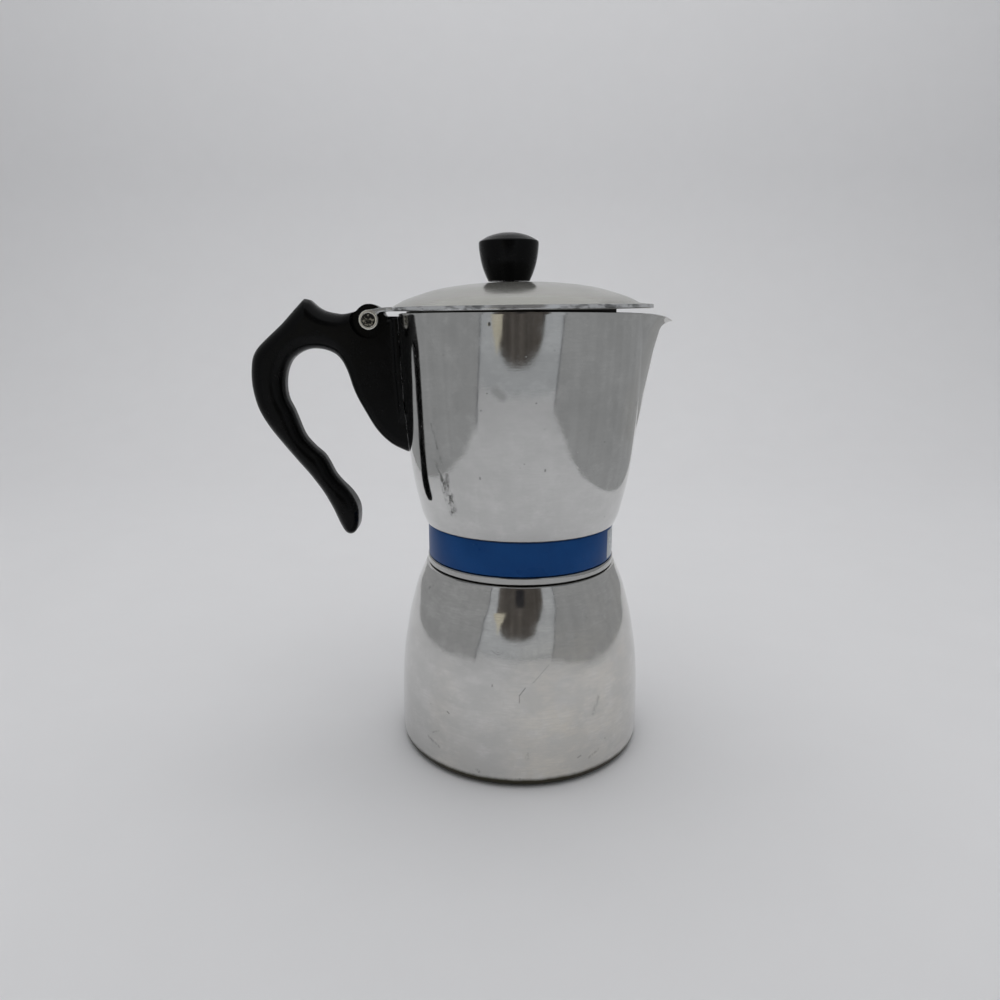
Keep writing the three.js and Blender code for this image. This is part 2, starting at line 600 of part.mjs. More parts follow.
function handleGeometry() {
  const depth = 2 * (HANDLE_HALF_WIDTH - HANDLE_EDGE_ROUND);
  const grip = new THREE.ExtrudeGeometry(handleOutline(), {
    depth,
    bevelThickness: HANDLE_EDGE_ROUND,
    bevelSize: HANDLE_EDGE_INSET,
    bevelOffset: -HANDLE_EDGE_INSET,
    bevelSegments: 2,
  });
  grip.rotateX(Math.PI / 2).translate(0, depth / 2, 0);
  const pinCentre = [HINGE_X, 0, HINGE_Z];
  const recesses = [-1, 1].flatMap((side) => {
    const [near, far] = [side * EAR_HALF_WIDTH, side * 12].sort((a, b) => a - b);
    return [
      solid(rod(KNUCKLE_RADIUS + KNUCKLE_RECESS, near, far, 'y', pinCentre, 32)),
      solid(box(HINGE_X, HANDLE_ROOT_X, near, far, HANDLE_TOP_Z, RIM_Z + 8)),
    ];
  });
  const bore = solid(rod(PIN_RADIUS + GAP, -12, 12, 'y', pinCentre));
  const sockets = HANDLE_SCREW_HEIGHTS.map((z) => {
    const wall = -radiusAt(VESSEL_WALL, z);
    return solid(rod(INSERT_RADIUS + GAP, wall - INSERT_LENGTH - 2, wall + 4, 'x', [0, 0, z]));
  });
  const whole = join(solid(grip), handlePad());
  return fromSolid(cut(whole, vesselEnvelope(GAP), ...recesses, bore, ...sockets));
}

// ---------- screws, inserts and the hinge pin ----------
// A pan-head screw with a slot; the underside of its head is at zero and its shank points to -Z.
function screwGeometry(headRadius, headHeight, shankLength) {
  const blank = solid(turned([
    [0, -shankLength], [SCREW_RADIUS - 0.5, -shankLength], [SCREW_RADIUS, -shankLength + 0.8],
    [SCREW_RADIUS, 0], [headRadius, 0], [headRadius, headHeight * 0.5],
    [headRadius * 0.7, headHeight * 0.92], [0, headHeight],
  ], ROUND_SMALL));
  const slot = solid(box(-headRadius, headRadius, -0.5, 0.5, headHeight * 0.5, headHeight + 1));
  return fromSolid(cut(blank, slot));
}

function pinGeometry() {
  const end = PIN_HALF_LENGTH;
  return turned([
    [0, -end], [PIN_RADIUS - 0.3, -end], [PIN_RADIUS, -end + 0.3], [PIN_RADIUS, end - 0.3],
    [PIN_RADIUS - 0.3, end], [0, end],
  ], ROUND_SMALL);
}

// ---------- lid, drawn shut and level; its group tilts it about the hinge ----------
function lidRings() {
  const flangeTop = LID_BOTTOM_Z + LID_SHEET;
  const beak = (radius, height, reach) => spoutedRing({
    radius, height, reach, halfAngle: SPOUT_HALF_ANGLE, sharpness: 1,
  });
  const round = (radius, height) => spoutedRing({ radius, height, halfAngle: SPOUT_HALF_ANGLE });
  const top = LID_DOME.map(([radius, height]) => round(radius, height));
  const under = LID_DOME.slice(0, -1).map(([radius, height]) => round(radius * 0.985, height - LID_SHEET));
  return [
    ...under, round(48.2, LID_BOTTOM_Z), beak(LID_RADIUS, LID_BOTTOM_Z, LID_BEAK_REACH),
    beak(LID_RADIUS, flangeTop, LID_BEAK_REACH), ...top.reverse(),
  ];
}

// The tongue runs back from the lid and forks into two arms that curl round the hinge pin.
function tongueArm(fromY, toY) {
  const flangeTop = LID_BOTTOM_Z + LID_SHEET;
  const arm = new THREE.Shape();
  arm.moveTo(HINGE_X - 0.5, HINGE_Z + KNUCKLE_RADIUS);
  arm.quadraticCurveTo(-58.5, flangeTop - 0.2, -55, flangeTop);
  arm.lineTo(-50, flangeTop);
  arm.lineTo(-50, LID_BOTTOM_Z);
  arm.lineTo(-55.5, LID_BOTTOM_Z);
  arm.quadraticCurveTo(-57.5, LID_BOTTOM_Z, -58.9, HINGE_Z + 1.6);
  arm.closePath();
  const knuckle = solid(rod(KNUCKLE_RADIUS, fromY, toY, 'y', [HINGE_X, 0, HINGE_Z], 20));
  return join(solid(sidePrism(arm, fromY, toY)), knuckle);
}

function lidGeometry() {
  const dish = solid(loft(lidRings(), false).translate(LID_CENTRE_X, 0, 0));
  const flangeTop = LID_BOTTOM_Z + LID_SHEET;
  const tongue = solid(box(-54.8, -49, -KNUCKLE_OUTER_Y, KNUCKLE_OUTER_Y, LID_BOTTOM_Z, flangeTop));
  const arms = [-1, 1].map((side) => {
    const [near, far] = [side * KNUCKLE_INNER_Y, side * KNUCKLE_OUTER_Y].sort((a, b) => a - b);
    return tongueArm(near, far);
  });
  const skirtBottom = LID_BOTTOM_Z - LID_SKIRT_DEPTH;
  const skirtInner = LID_SKIRT_RADIUS - 1.6;
  const skirt = solid(ringPlate(skirtInner, LID_SKIRT_RADIUS, skirtBottom, LID_BOTTOM_Z + 0.8, ROUND));
  const spoutGap = solid(box(LID_SKIRT_END_X, LID_RADIUS, -40, 40, skirtBottom - 1, LID_BOTTOM_Z - 0.01));
  const pinBore = solid(rod(PIN_RADIUS + GAP, -12, 12, 'y', [HINGE_X, 0, HINGE_Z]));
  const screwHole = solid(rod(SCREW_HOLE_RADIUS, RIM_Z, RIM_Z + 20, 'z', [KNOB_X, 0, 0]));
  return fromSolid(cut(join(dish, cut(skirt, spoutGap), tongue, ...arms), pinBore, screwHole));
}

const KNOB_BASE_Z = LID_DOME[0][1] + GAP;
const KNOB_SOCKET_DEPTH = 10.5;

function knobGeometry() {
  return turned([
    [0, KNOB_SOCKET_DEPTH], [INSERT_RADIUS + GAP, KNOB_SOCKET_DEPTH], [INSERT_RADIUS + GAP, 0], [8.3, 0],
    [8.7, 0.5], [9.6, 2.6], [10.7, 5.6], [11.5, 9], [12, 12.6], [12.1, 14.7], [11.8, 15.5], [8.4, 17.3],
    [4.4, 18.5], [0, 18.9],
  ], 32);
}

// ---------- assembly ----------
const pot = new THREE.Group();
const upright = new THREE.Group();
upright.position.z = BASE_CORNER;
pot.add(upright);

function place(parent, name, geometry, finish) {
  const mesh = new THREE.Mesh(geometry, finish);
  mesh.name = name;
  parent.add(mesh);
  return mesh;
}

function subgroup(x, y, z) {
  const group = new THREE.Group();
  group.position.set(x, y, z);
  upright.add(group);
  return group;
}

place(upright, 'boiler_vessel', boilerGeometry(), polishedAluminium());

const valve = subgroup(0, VALVE_FACE_Y, VALVE_Z);
valve.rotation.x = -Math.PI / 2;
place(valve, 'valve_body', valveBodyGeometry(), brass());
place(valve, 'valve_washer', ringPlate(VALVE_SHANK_RADIUS + GAP, WASHER_RADIUS, GAP, 1.3), fibre());
place(valve, 'valve_nut', valveNutGeometry(), brass());
place(valve, 'valve_pin', valvePinGeometry(), steel());
place(valve, 'valve_spring', springGeometry(), steel());
place(valve, 'valve_cap', ringPlate(1.3, VALVE_CHAMBER_RADIUS - GAP, 7.5, 8.6), brass());

place(upright, 'funnel_body', funnelGeometry(), satinAluminium());
place(upright, 'funnel_sieve', sievePlate(SIEVE_RADIUS, SIEVE_Z, SIEVE_Z + SIEVE_THICKNESS, 3, 1),
  satinAluminium());
place(upright, 'gasket', gasketGeometry(), rubber());
place(upright, 'filter_plate', sievePlate(FILTER_RADIUS, FILTER_Z, FILTER_Z + FILTER_THICKNESS, 3, 0.9),
  satinAluminium());

place(upright, 'upper_vessel', vesselGeometry(), polishedAluminium());
place(upright, 'coffee_column', columnGeometry(), satinAluminium());
const bandBottom = SKIRT_FLANGE_TOP_Z + GAP;
const bandGeometry = ringPlate(BAND_SEAT_RADIUS + GAP, BAND_OUTER_RADIUS, bandBottom, BAND_TOP_Z, ROUND);
place(upright, 'blue_band', bandGeometry, bluePaint());

place(upright, 'handle', handleGeometry(), bakelite());
HANDLE_SCREW_HEIGHTS.forEach((z, i) => {
  const which = ['upper', 'lower'][i];
  const innerWall = -(radiusAt(VESSEL_WALL, z) - VESSEL_WALL_THICKNESS);
  const stack = subgroup(innerWall, 0, z);
  stack.rotation.y = Math.PI / 2;
  place(stack, `handle_washer_${which}`, ringPlate(SCREW_RADIUS + GAP, 4.4, 0.7, 1.5), steel());
  place(stack, `handle_screw_${which}`,
    screwGeometry(SCREW_HEAD_RADIUS, SCREW_HEAD_HEIGHT, 11.5).translate(0, 0, 1.8), steel());
  const insertEnd = -VESSEL_WALL_THICKNESS - 0.9;
  place(stack, `handle_insert_${which}`,
    ringPlate(SCREW_RADIUS + GAP, INSERT_RADIUS, insertEnd - INSERT_LENGTH, insertEnd), brass());
});

const hingePin = place(upright, 'hinge_pin', pinGeometry(), steel());
hingePin.position.set(HINGE_X, 0, HINGE_Z);
hingePin.rotation.x = Math.PI / 2;

const lidGroup = subgroup(HINGE_X, 0, HINGE_Z);
lidGroup.rotation.set(LID_SAG, -LID_TILT, 0);
place(lidGroup, 'lid', lidGeometry().translate(-HINGE_X, 0, -HINGE_Z), satinAluminium());

const knobGroup = new THREE.Group();
knobGroup.position.set(KNOB_X - HINGE_X, 0, KNOB_BASE_Z - HINGE_Z);
lidGroup.add(knobGroup);
place(knobGroup, 'lid_knob', knobGeometry(), bakelite());
place(knobGroup, 'knob_insert', ringPlate(SCREW_RADIUS + GAP, INSERT_RADIUS, 0.6, 9.6), brass());
const underLid = -LID_SHEET - 2 * GAP - 0.1;
place(knobGroup, 'knob_washer', ringPlate(SCREW_RADIUS + GAP, 5, underLid - 0.8, underLid), steel());
const knobScrew = place(knobGroup, 'knob_screw', screwGeometry(SCREW_HEAD_RADIUS, SCREW_HEAD_HEIGHT, 10.5),
  steel());
knobScrew.rotation.x = Math.PI;
knobScrew.position.z = underLid - 0.8 - GAP;

export default pot;
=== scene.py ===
"""A six-cup stovetop moka pot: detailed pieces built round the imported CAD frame.

Sizes are in millimetres (+Z up, spout at +X, handle at -X) and become metres when a mesh is made.
Heights are measured from the level where the boiler's wall meets the rounded corner of its base;
dress() lifts every finished piece by that corner, so that the pot stands on z = 0.
"""

import json
import math

import bmesh
import bpy
import numpy as np
from mathutils import Matrix, Vector, geometry


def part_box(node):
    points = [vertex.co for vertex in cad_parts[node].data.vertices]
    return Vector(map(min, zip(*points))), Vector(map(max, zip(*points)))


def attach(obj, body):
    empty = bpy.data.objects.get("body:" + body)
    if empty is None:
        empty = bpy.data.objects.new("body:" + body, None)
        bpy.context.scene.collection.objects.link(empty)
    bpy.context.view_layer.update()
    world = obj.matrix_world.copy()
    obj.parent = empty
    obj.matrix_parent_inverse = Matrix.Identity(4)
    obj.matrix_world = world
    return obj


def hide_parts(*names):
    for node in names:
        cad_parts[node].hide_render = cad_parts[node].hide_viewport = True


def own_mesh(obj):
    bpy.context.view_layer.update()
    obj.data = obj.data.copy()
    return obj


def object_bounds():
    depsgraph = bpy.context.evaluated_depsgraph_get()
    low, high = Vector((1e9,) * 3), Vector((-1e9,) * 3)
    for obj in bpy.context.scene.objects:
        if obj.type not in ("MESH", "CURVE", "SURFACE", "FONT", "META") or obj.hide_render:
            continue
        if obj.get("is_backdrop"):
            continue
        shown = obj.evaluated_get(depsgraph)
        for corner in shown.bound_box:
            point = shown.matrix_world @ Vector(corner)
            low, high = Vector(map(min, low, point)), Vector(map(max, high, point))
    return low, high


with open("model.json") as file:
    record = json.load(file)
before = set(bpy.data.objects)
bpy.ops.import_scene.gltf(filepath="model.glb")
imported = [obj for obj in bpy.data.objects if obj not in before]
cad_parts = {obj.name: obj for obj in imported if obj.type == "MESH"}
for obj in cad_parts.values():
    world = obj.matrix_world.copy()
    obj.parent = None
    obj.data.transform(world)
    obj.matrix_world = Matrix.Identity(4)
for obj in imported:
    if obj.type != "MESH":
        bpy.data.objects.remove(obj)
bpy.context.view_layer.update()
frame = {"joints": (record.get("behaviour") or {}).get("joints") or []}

MM = 0.001
TURN = 2 * math.pi

BASE_CORNER = 4.5
LIFT = np.array([0, 0, BASE_CORNER])


def node_box(node):
    """The lowest and highest corner of a CAD node, in millimetres and in these heights."""
    low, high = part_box(node)
    return np.array(low) / MM - LIFT, np.array(high) / MM - LIFT


# ---------- driving sizes, taken from the frame where it has them ----------
boiler_high = node_box("boiler_vessel")[1]
vessel_low, vessel_high = node_box("upper_vessel")
band_low, band_high = node_box("blue_band")
gasket_low, gasket_high = node_box("gasket")
plate_low, plate_high = node_box("filter_plate")
sieve_low, sieve_high = node_box("funnel_sieve")
joints = {joint["name"]: joint for joint in frame["joints"]}
HINGE = np.array(joints["lid_hinge"]["pos_m"]) / MM - LIFT

BASE_RADIUS = boiler_high[0]
NECK_TOP = boiler_high[2]
RIM = vessel_high[2]
SKIRT_BOTTOM = vessel_low[2]
SPOUT_REACH = vessel_high[0]
BAND_RADIUS = band_high[0]
GAP = 0.3

BOILER_WALL = [
    (BASE_RADIUS, 12), (52.4, 25), (51.6, 35), (50.1, 45), (48.6, 53), (46.8, 60), (44.7, 67),
    (42.6, 72), (41.3, 75),
]
VESSEL_WALL = [
    (40.7, 94), (42.3, 98), (43.5, 103), (44.9, 109), (46.1, 116), (47.1, 124), (48.0, 133),
    (48.8, 142), (49.5, 152), (50.1, 165), (50.5, RIM),
]
SPOUT_RIDGE = [
    (48.0, 131), (49.9, 138), (51.3, 145), (53.6, 158), (54.9, 165), (56.4, 171), (57.8, 175),
    (SPOUT_REACH, RIM),
]
LID_DOME = [(0, 191.9), (17, 191.3), (32, 189.3), (41, 186.8), (46, 185), (49, 183.5)]

SHOULDER = 75.9
NECK_RADIUS = 34.2
MOUTH_RADIUS = 30.8
BASE_FLAT_RADIUS = BASE_RADIUS - BASE_CORNER
BOILER_FLOOR = 1.2
BOILER_WALL_THICKNESS = 2.6
VESSEL_WALL_THICKNESS = 2.2
SKIRT_FLANGE_TOP = 79.3
SKIRT_FLANGE_RADIUS = 40.3
SKIRT_BORE = 35.7
BAND_SEAT_RADIUS = 38.3
WAIST = 94
GASKET_SEAT = 96.7
FLOOR_UNDERSIDE = 98.2
FLOOR_TOP = 101
THREAD_PITCH = 3.2
THREAD_TURNS = 2
THREAD_START = 79.4
SPOUT_START = 131
SPOUT_HALF_ANGLE = math.radians(25)
SPOUT_ROOT_ANGLE = math.radians(12)
LIP_DROP = 2.8
LIP_INNER_SHARE = 0.45

LID_CENTRE = -2
LID_RADIUS = 50.8
LID_BEAK_REACH = 56.3
LID_BOTTOM = 180.9
LID_SHEET = 1.7
LID_SKIRT_RADIUS = 47
LID_SKIRT_DEPTH = 1.8
LID_SKIRT_END = 34.2
LID_TILT = math.radians(0.7)
LID_SAG = math.radians(1.1)
KNOB_X = -5
KNUCKLE_RADIUS = 3.9
KNUCKLE_RECESS = 3.6
KNUCKLE_INNER = 4.3
KNUCKLE_OUTER = 7.3
PIN_RADIUS = 2.5

HANDLE_HALF_WIDTH = 7.5
HANDLE_EDGE = 3.2
GRIP_EXTRA_EDGE = 2.2
EAR_RADIUS = 6.3
EAR_HALF_WIDTH = 4
HANDLE_SCREW_HEIGHTS = {"upper": 164, "lower": 142}
SCREW_RADIUS = 2
SCREW_HOLE_RADIUS = 2.4
SCREW_HEAD_RADIUS = 3.7
SCREW_HEAD_HEIGHT = 2.2
INSERT_RADIUS = 3.4
VALVE_Z = 50
VALVE_FACE = 50.6


# ---------- outlines ----------
def smooth_curve(points, steps):
    """Catmull-Rom samples through a row of 2-D points, with the given steps between neighbours."""
    points = [np.array(p, float) for p in points]
    padded = [2 * points[0] - points[1]] + points + [2 * points[-1] - points[-2]]
    samples = []
    for a, b, c, d in zip(padded, padded[1:], padded[2:], padded[3:]):
        for i in range(steps):
            t = i / steps
            samples.append(0.5 * (2 * b + (c - a) * t + (2 * a - 5 * b + 4 * c - d) * t**2
                                  + (3 * b - a - 3 * c + d) * t**3))
    samples.append(points[-1])
    return [tuple(p) for p in samples]


def monotone(stations):
    """A smooth function height -> radius through the stations (a monotone cubic)."""
    z = np.array([s[1] for s in stations], float)
    r = np.array([s[0] for s in stations], float)
    slope = np.diff(r) / np.diff(z)
    tangent = np.concatenate([[slope[0]], (slope[:-1] + slope[1:]) / 2, [slope[-1]]])

    def radius(height):
        h = min(max(height, z[0]), z[-1])
        i = min(int(np.searchsorted(z, h, side="right")) - 1, len(z) - 2)
        width = z[i + 1] - z[i]
        t = (h - z[i]) / width
        return ((2 * t**3 - 3 * t**2 + 1) * r[i] + (t**3 - 2 * t**2 + t) * width * tangent[i]
                + (3 * t**2 - 2 * t**3) * r[i + 1] + (t**3 - t**2) * width * tangent[i + 1])
    return radius


boiler_radius = monotone(BOILER_WALL)
vessel_radius = monotone(VESSEL_WALL)
ridge_radius = monotone(SPOUT_RIDGE)
dome_height = monotone([(z, r) for r, z in LID_DOME])


def rounded(profile, steps=4):
    """Rounds each (x, y, radius) corner of an open or closed 2-D outline with an arc-like curve."""
    result = []
    for i, point in enumerate(profile):
        x, y = point[:2]
        radius = point[2] if len(point) > 2 else 0
        if radius == 0 or i in (0, len(profile) - 1):
            result.append((x, y))
            continue
        here = np.array([x, y], float)
        before = np.array(profile[i - 1][:2], float) - here
        after = np.array(profile[i + 1][:2], float) - here
        reach = min(radius, 0.48 * np.linalg.norm(before), 0.48 * np.linalg.norm(after))
        start = here + before / np.linalg.norm(before) * reach
        end = here + after / np.linalg.norm(after) * reach
        for k in range(steps + 1):
            t = k / steps
            result.append(tuple((1 - t)**2 * start + 2 * t * (1 - t) * here + t**2 * end))
    return result


# ---------- mesh building ----------
def mesh_object(name, vertices, faces, sharp_degrees=32):
    """An object from millimetre vertices, smooth except across edges sharper than the angle."""
    mesh = bpy.data.meshes.new(name)
    mesh.from_pydata([tuple(np.array(v) * MM) for v in vertices], [], faces)
    obj = bpy.data.objects.new(name, mesh)
    bpy.context.scene.collection.objects.link(obj)
    tidy_mesh(obj, sharp_degrees)
    return obj


def tidy_mesh(obj, sharp_degrees=32):
    work = bmesh.new()
    work.from_mesh(obj.data)
    bmesh.ops.remove_doubles(work, verts=work.verts, dist=1e-7)
    bmesh.ops.recalc_face_normals(work, faces=work.faces)
    limit = math.radians(sharp_degrees)
    for face in work.faces:
        face.smooth = True
    for edge in work.edges:
        edge.smooth = len(edge.link_faces) == 2 and edge.calc_face_angle(0) < limit
    work.to_mesh(obj.data)
    work.free()


def lofted(rings, closed):
    """Vertices and faces that skin a row of equal rings; an open row gets a cap on each end."""
    count = len(rings[0])
    vertices = [p for ring in rings for p in ring]
    faces = []
    for i in range(len(rings) if closed else len(rings) - 1):
        here = i * count
        after = ((i + 1) % len(rings)) * count
        for k in range(count):
            turn = (k + 1) % count
            faces.append((here + k, here + turn, after + turn, after + k))
    if not closed:
        faces.append(tuple(range(count - 1, -1, -1)))
        faces.append(tuple(range((len(rings) - 1) * count, len(rings) * count)))
    return vertices, faces


def revolved(name, profile, segments=160, wobble=None, sharp_degrees=32):
    """Turns a (radius, height) outline about Z; one that leaves the axis free closes on itself."""
    angles = [TURN * k / segments for k in range(segments)]
    vertices, faces, rows = [], [], []
    for radius, height in profile:
        if radius < 1e-6:
            rows.append([len(vertices)] * segments)
            vertices.append((0, 0, height))
            continue
        rows.append(list(range(len(vertices), len(vertices) + segments)))
        for angle in angles:
            r = radius + (wobble(angle, radius, height) if wobble else 0)
            vertices.append((r * math.cos(angle), r * math.sin(angle), height))
    on_axis = profile[0][0] < 1e-6 and profile[-1][0] < 1e-6
    pairs = list(zip(rows, rows[1:])) + ([] if on_axis else [(rows[-1], rows[0])])
    for low, high in pairs:
        for k in range(segments):
            n = (k + 1) % segments
            corners = []
            for index in (low[k], low[n], high[n], high[k]):
                if index not in corners:
                    corners.append(index)
            if len(corners) > 2:
                faces.append(tuple(corners))
    return mesh_object(name, vertices, faces, sharp_degrees)


def prism(name, outline, low, high, bevel=0.0, axis="y"):
    """A prism of a 2-D outline; along Y the outline is drawn in X and Z, along Z in X and Y."""
    def point(p, depth):
        return (p[0], depth, p[1]) if axis == "y" else (p[0], p[1], depth)

    rings = [[point(p, low) for p in outline], [point(p, high) for p in outline]]
    obj = mesh_object(name, *lofted(rings, False), sharp_degrees=30)
    if bevel:
        apply_modifier(obj, "BEVEL", width=bevel * MM, segments=3, limit_method="ANGLE",
                       angle_limit=math.radians(40), use_clamp_overlap=True)
        tidy_mesh(obj, 40)
    return obj


def apply_modifier(obj, kind, **settings):
    """Adds a modifier and bakes its result into the mesh."""
    modifier = obj.modifiers.new(kind.lower(), kind)
    for key, value in settings.items():
        setattr(modifier, key, value)
    bpy.context.view_layer.update()
    evaluated = obj.evaluated_get(bpy.context.evaluated_depsgraph_get())
    mesh = bpy.data.meshes.new_from_object(evaluated)
    obj.modifiers.remove(modifier)
    obj.data = mesh


def carve(obj, tool, operation="DIFFERENCE"):
    """Cuts a tool from an object, or joins or intersects them, and removes the tool."""
    apply_modifier(obj, "BOOLEAN", object=tool, operation=operation, solver="EXACT")
    bpy.data.objects.remove(tool)


def move(obj, matrix):
    obj.data.transform(matrix)
    obj.data.update()
    return obj


def shift(obj, x, y, z):
    return move(obj, Matrix.Translation(Vector((x, y, z)) * MM))


def merge(name, *parts):
    """Joins several objects into the first one's mesh, keeping their overlaps."""
    work = bmesh.new()
    for part in parts:
        work.from_mesh(part.data)
    mesh = bpy.data.meshes.new(name)
    work.to_mesh(mesh)
    work.free()
    for part in parts:
        bpy.data.objects.remove(part)
    obj = bpy.data.objects.new(name, mesh)
    bpy.context.scene.collection.objects.link(obj)
    return obj


def rod(name, radius, low, high, axis, centre, segments=48, edge=0.2):
    """A turned rod with slightly broken edges, along X, Y or Z through a centre."""
    obj = revolved(name, [(0, low), (radius - edge, low), (radius, low + edge),
                          (radius, high - edge), (radius - edge, high), (0, high)], segments)
    if axis == "x":
        move(obj, Matrix.Rotation(math.pi / 2, 4, "Y"))
    elif axis == "y":
        move(obj, Matrix.Rotation(-math.pi / 2, 4, "X"))
    return shift(obj, *centre)


def washer_profile(inner, outer, low, high, edge=0.12):
    return [(inner, low + edge), (inner + edge, low), (outer - edge, low), (outer, low + edge),
            (outer, high - edge), (outer - edge, high), (inner + edge, high), (inner, high - edge)]


def circle(x, y, radius, count, phase=0.0):
    return [(x + radius * math.cos(phase + TURN * k / count),
             y + radius * math.sin(phase + TURN * k / count)) for k in range(count)]


# ---------- threads ----------
def thread_form(angle, height, start):
    """From 0 to 1: the depth of a right-hand V thread at an angle and height."""
    turns = (height - start) / THREAD_PITCH
    if not 0 < turns < THREAD_TURNS + 0.6:
        return 0
    fraction = (turns - angle / TURN) % 1
    fade = min(1, turns / 0.4, (THREAD_TURNS + 0.6 - turns) / 0.4)
    return max(0, 1 - abs(fraction - 0.5) * 3.2) * fade


# ---------- boiler ----------
def boiler():
    base = -BASE_CORNER
    corner = [(BASE_FLAT_RADIUS + BASE_CORNER * math.sin(a), base * math.cos(a))
              for a in np.linspace(0.1, math.pi / 2, 12)]
    wall = [(boiler_radius(z), z) for z in np.linspace(4, 75, 64)]
    inside = [(boiler_radius(z + 1) - BOILER_WALL_THICKNESS, z) for z in np.linspace(71, 6, 30)]
    neck = [(NECK_RADIUS, z) for z in np.linspace(SHOULDER + 0.6, NECK_TOP - 0.8, 70)]
    profile = (
        [(0, base), (20, base), (20.4, base + 0.35), (21.4, base + 0.35), (21.8, base),
         (BASE_FLAT_RADIUS - 4, base), (BASE_FLAT_RADIUS, base)] + corner + wall
        + [(41.05, 75.5), (40.5, 75.82), (39.8, SHOULDER), (NECK_RADIUS + 0.6, SHOULDER)] + neck
        + [(NECK_RADIUS - 0.2, NECK_TOP - 0.3), (NECK_RADIUS - 0.6, NECK_TOP),
           (MOUTH_RADIUS + 0.3, NECK_TOP), (MOUTH_RADIUS, NECK_TOP - 0.3), (MOUTH_RADIUS, 74.5),
           (31.6, 73.4)] + inside
        + [(50.2, BOILER_FLOOR + 2), (49.6, BOILER_FLOOR + 0.6), (48.4, BOILER_FLOOR), (0, BOILER_FLOOR)]
    )

    def thread(angle, radius, height):
        on_neck = abs(radius - NECK_RADIUS) < 0.01
        return 1.1 * thread_form(angle, height, THREAD_START) if on_neck else 0

    shell = revolved("boiler_shell", profile, 200, thread)
    centre = (0, 0, VALVE_Z)
    carve(shell, rod("tool", 8.5, 46, VALVE_FACE, "y", centre, 64, 0.35), "UNION")
    carve(shell, rod("tool", 7.5, 43.7, 47, "y", centre, 64), "UNION")
    carve(shell, rod("tool", 8.5, VALVE_FACE, 58, "y", centre, 64, 0.01))
    carve(shell, rod("tool", 4.3, 40, 58, "y", centre, 48, 0.01))
    tidy_mesh(shell, 30)
    return shell


# ---------- safety valve ----------
def to_valve(obj):
    """From the valve's own frame, turned about Z, to its place on the boss."""
    move(obj, Matrix.Rotation(-math.pi / 2, 4, "X"))
    return shift(obj, 0, VALVE_FACE, VALVE_Z)


def valve_body():
    shank = []
    for z in np.arange(-12.1, 0.4, 0.1):
        crest = abs(((z / 0.9) % 1) - 0.5) * 2
        shank.append((4.0 - 0.32 * crest, z))
    profile = ([(1.5, -12.4), (3.5, -12.4)] + shank
               + [(3.6, 0.8), (3.6, 3), (4.6, 5.5), (4.6, 8.5), (4.45, 8.9), (4.1, 9.0),
                  (3.0, 9.0), (2.9, 8.8), (2.9, -6), (1.5, -6)])
    barrel = revolved("barrel", profile, 64)
    hexagon = prism("hexagon", circle(0, 0, 6.9, 6), 1.6, 5.6, axis="z")
    cone = revolved("tool", [(0, 0), (4.6, 0), (7.1, 1.9), (7.1, 5.1), (6.1, 6.2), (0, 6.2)], 64)
    carve(hexagon, cone, "INTERSECT")
    carve(hexagon, rod("tool", 3.3, 0, 8, "z", (0, 0, 0)))
    tidy_mesh(hexagon, 20)
    return to_valve(merge("safety_valve_body", barrel, hexagon))


def valve_pin():
    profile = [(0, -5.7), (1.3, -5.7), (1.6, -5.6), (2.4, -5.1), (2.4, -4.6), (2.3, -4.5),
               (0.9, -4.5), (0.9, 9.6), (0.85, 10), (0.6, 10.35), (0.3, 10.48), (0, 10.5)]
    return to_valve(revolved("safety_valve_pin", profile, 40))


def valve_spring():
    turns, coil, wire = 6, 1.8, 0.27
    low, high = -3.9, 6.8
    rings = []
    steps = turns * 28
    for i in range(steps + 1):
        t = i / steps
        angle = TURN * turns * t
        ease = t - 0.35 * math.sin(TURN * t) / TURN
        out = np.array([math.cos(angle), math.sin(angle), 0])
        centre = out * coil + np.array([0, 0, low + (high - low) * ease])
        ring = [tuple(centre + out * wire * math.cos(a) + np.array([0, 0, wire * math.sin(a)]))
                for a in np.linspace(0, TURN, 10, endpoint=False)]
        rings.append(ring)
    return to_valve(mesh_object("safety_valve_spring", *lofted(rings, False)))


def valve_nut():
    nut = prism("safety_valve_nut", circle(0, 0, 6.9, 6), -10.7, -7.2, axis="z")
    cone = revolved("tool", [(0, -11), (5.9, -11), (7.1, -10.3), (7.1, -7.6), (5.9, -6.9), (0, -6.9)], 64)
    carve(nut, cone, "INTERSECT")
    carve(nut, rod("tool", 4.25, -14, -4, "z", (0, 0, 0)))
    tidy_mesh(nut, 20)
    return to_valve(nut)


# ---------- funnel, sieve, gasket and filter plate ----------
def funnel():
    flange = NECK_TOP + GAP
    floor = 66.5
    profile = rounded([
        (4.1, 9, 0), (5, 9, 0.2), (5, floor - 3.2, 1.5), (6.5, floor - 1.5, 1), (27.6, floor - 0.9, 1.2),
        (29.0, floor + 0.6, 1.2), (29.8, flange - 0.01, 0.2), (32.6, flange, 0.3), (32.8, flange + 0.4, 0.3),
        (32.7, flange + 1, 0.3), (29.6, flange + 1, 0.8), (28.9, flange, 0.8), (28.1, floor + 1, 1.2),
        (27.2, floor, 1.2), (6, floor - 0.6, 1), (4.1, floor - 2.4, 1), (4.1, 30, 0),
    ])
    return revolved("coffee_funnel", profile, 128)


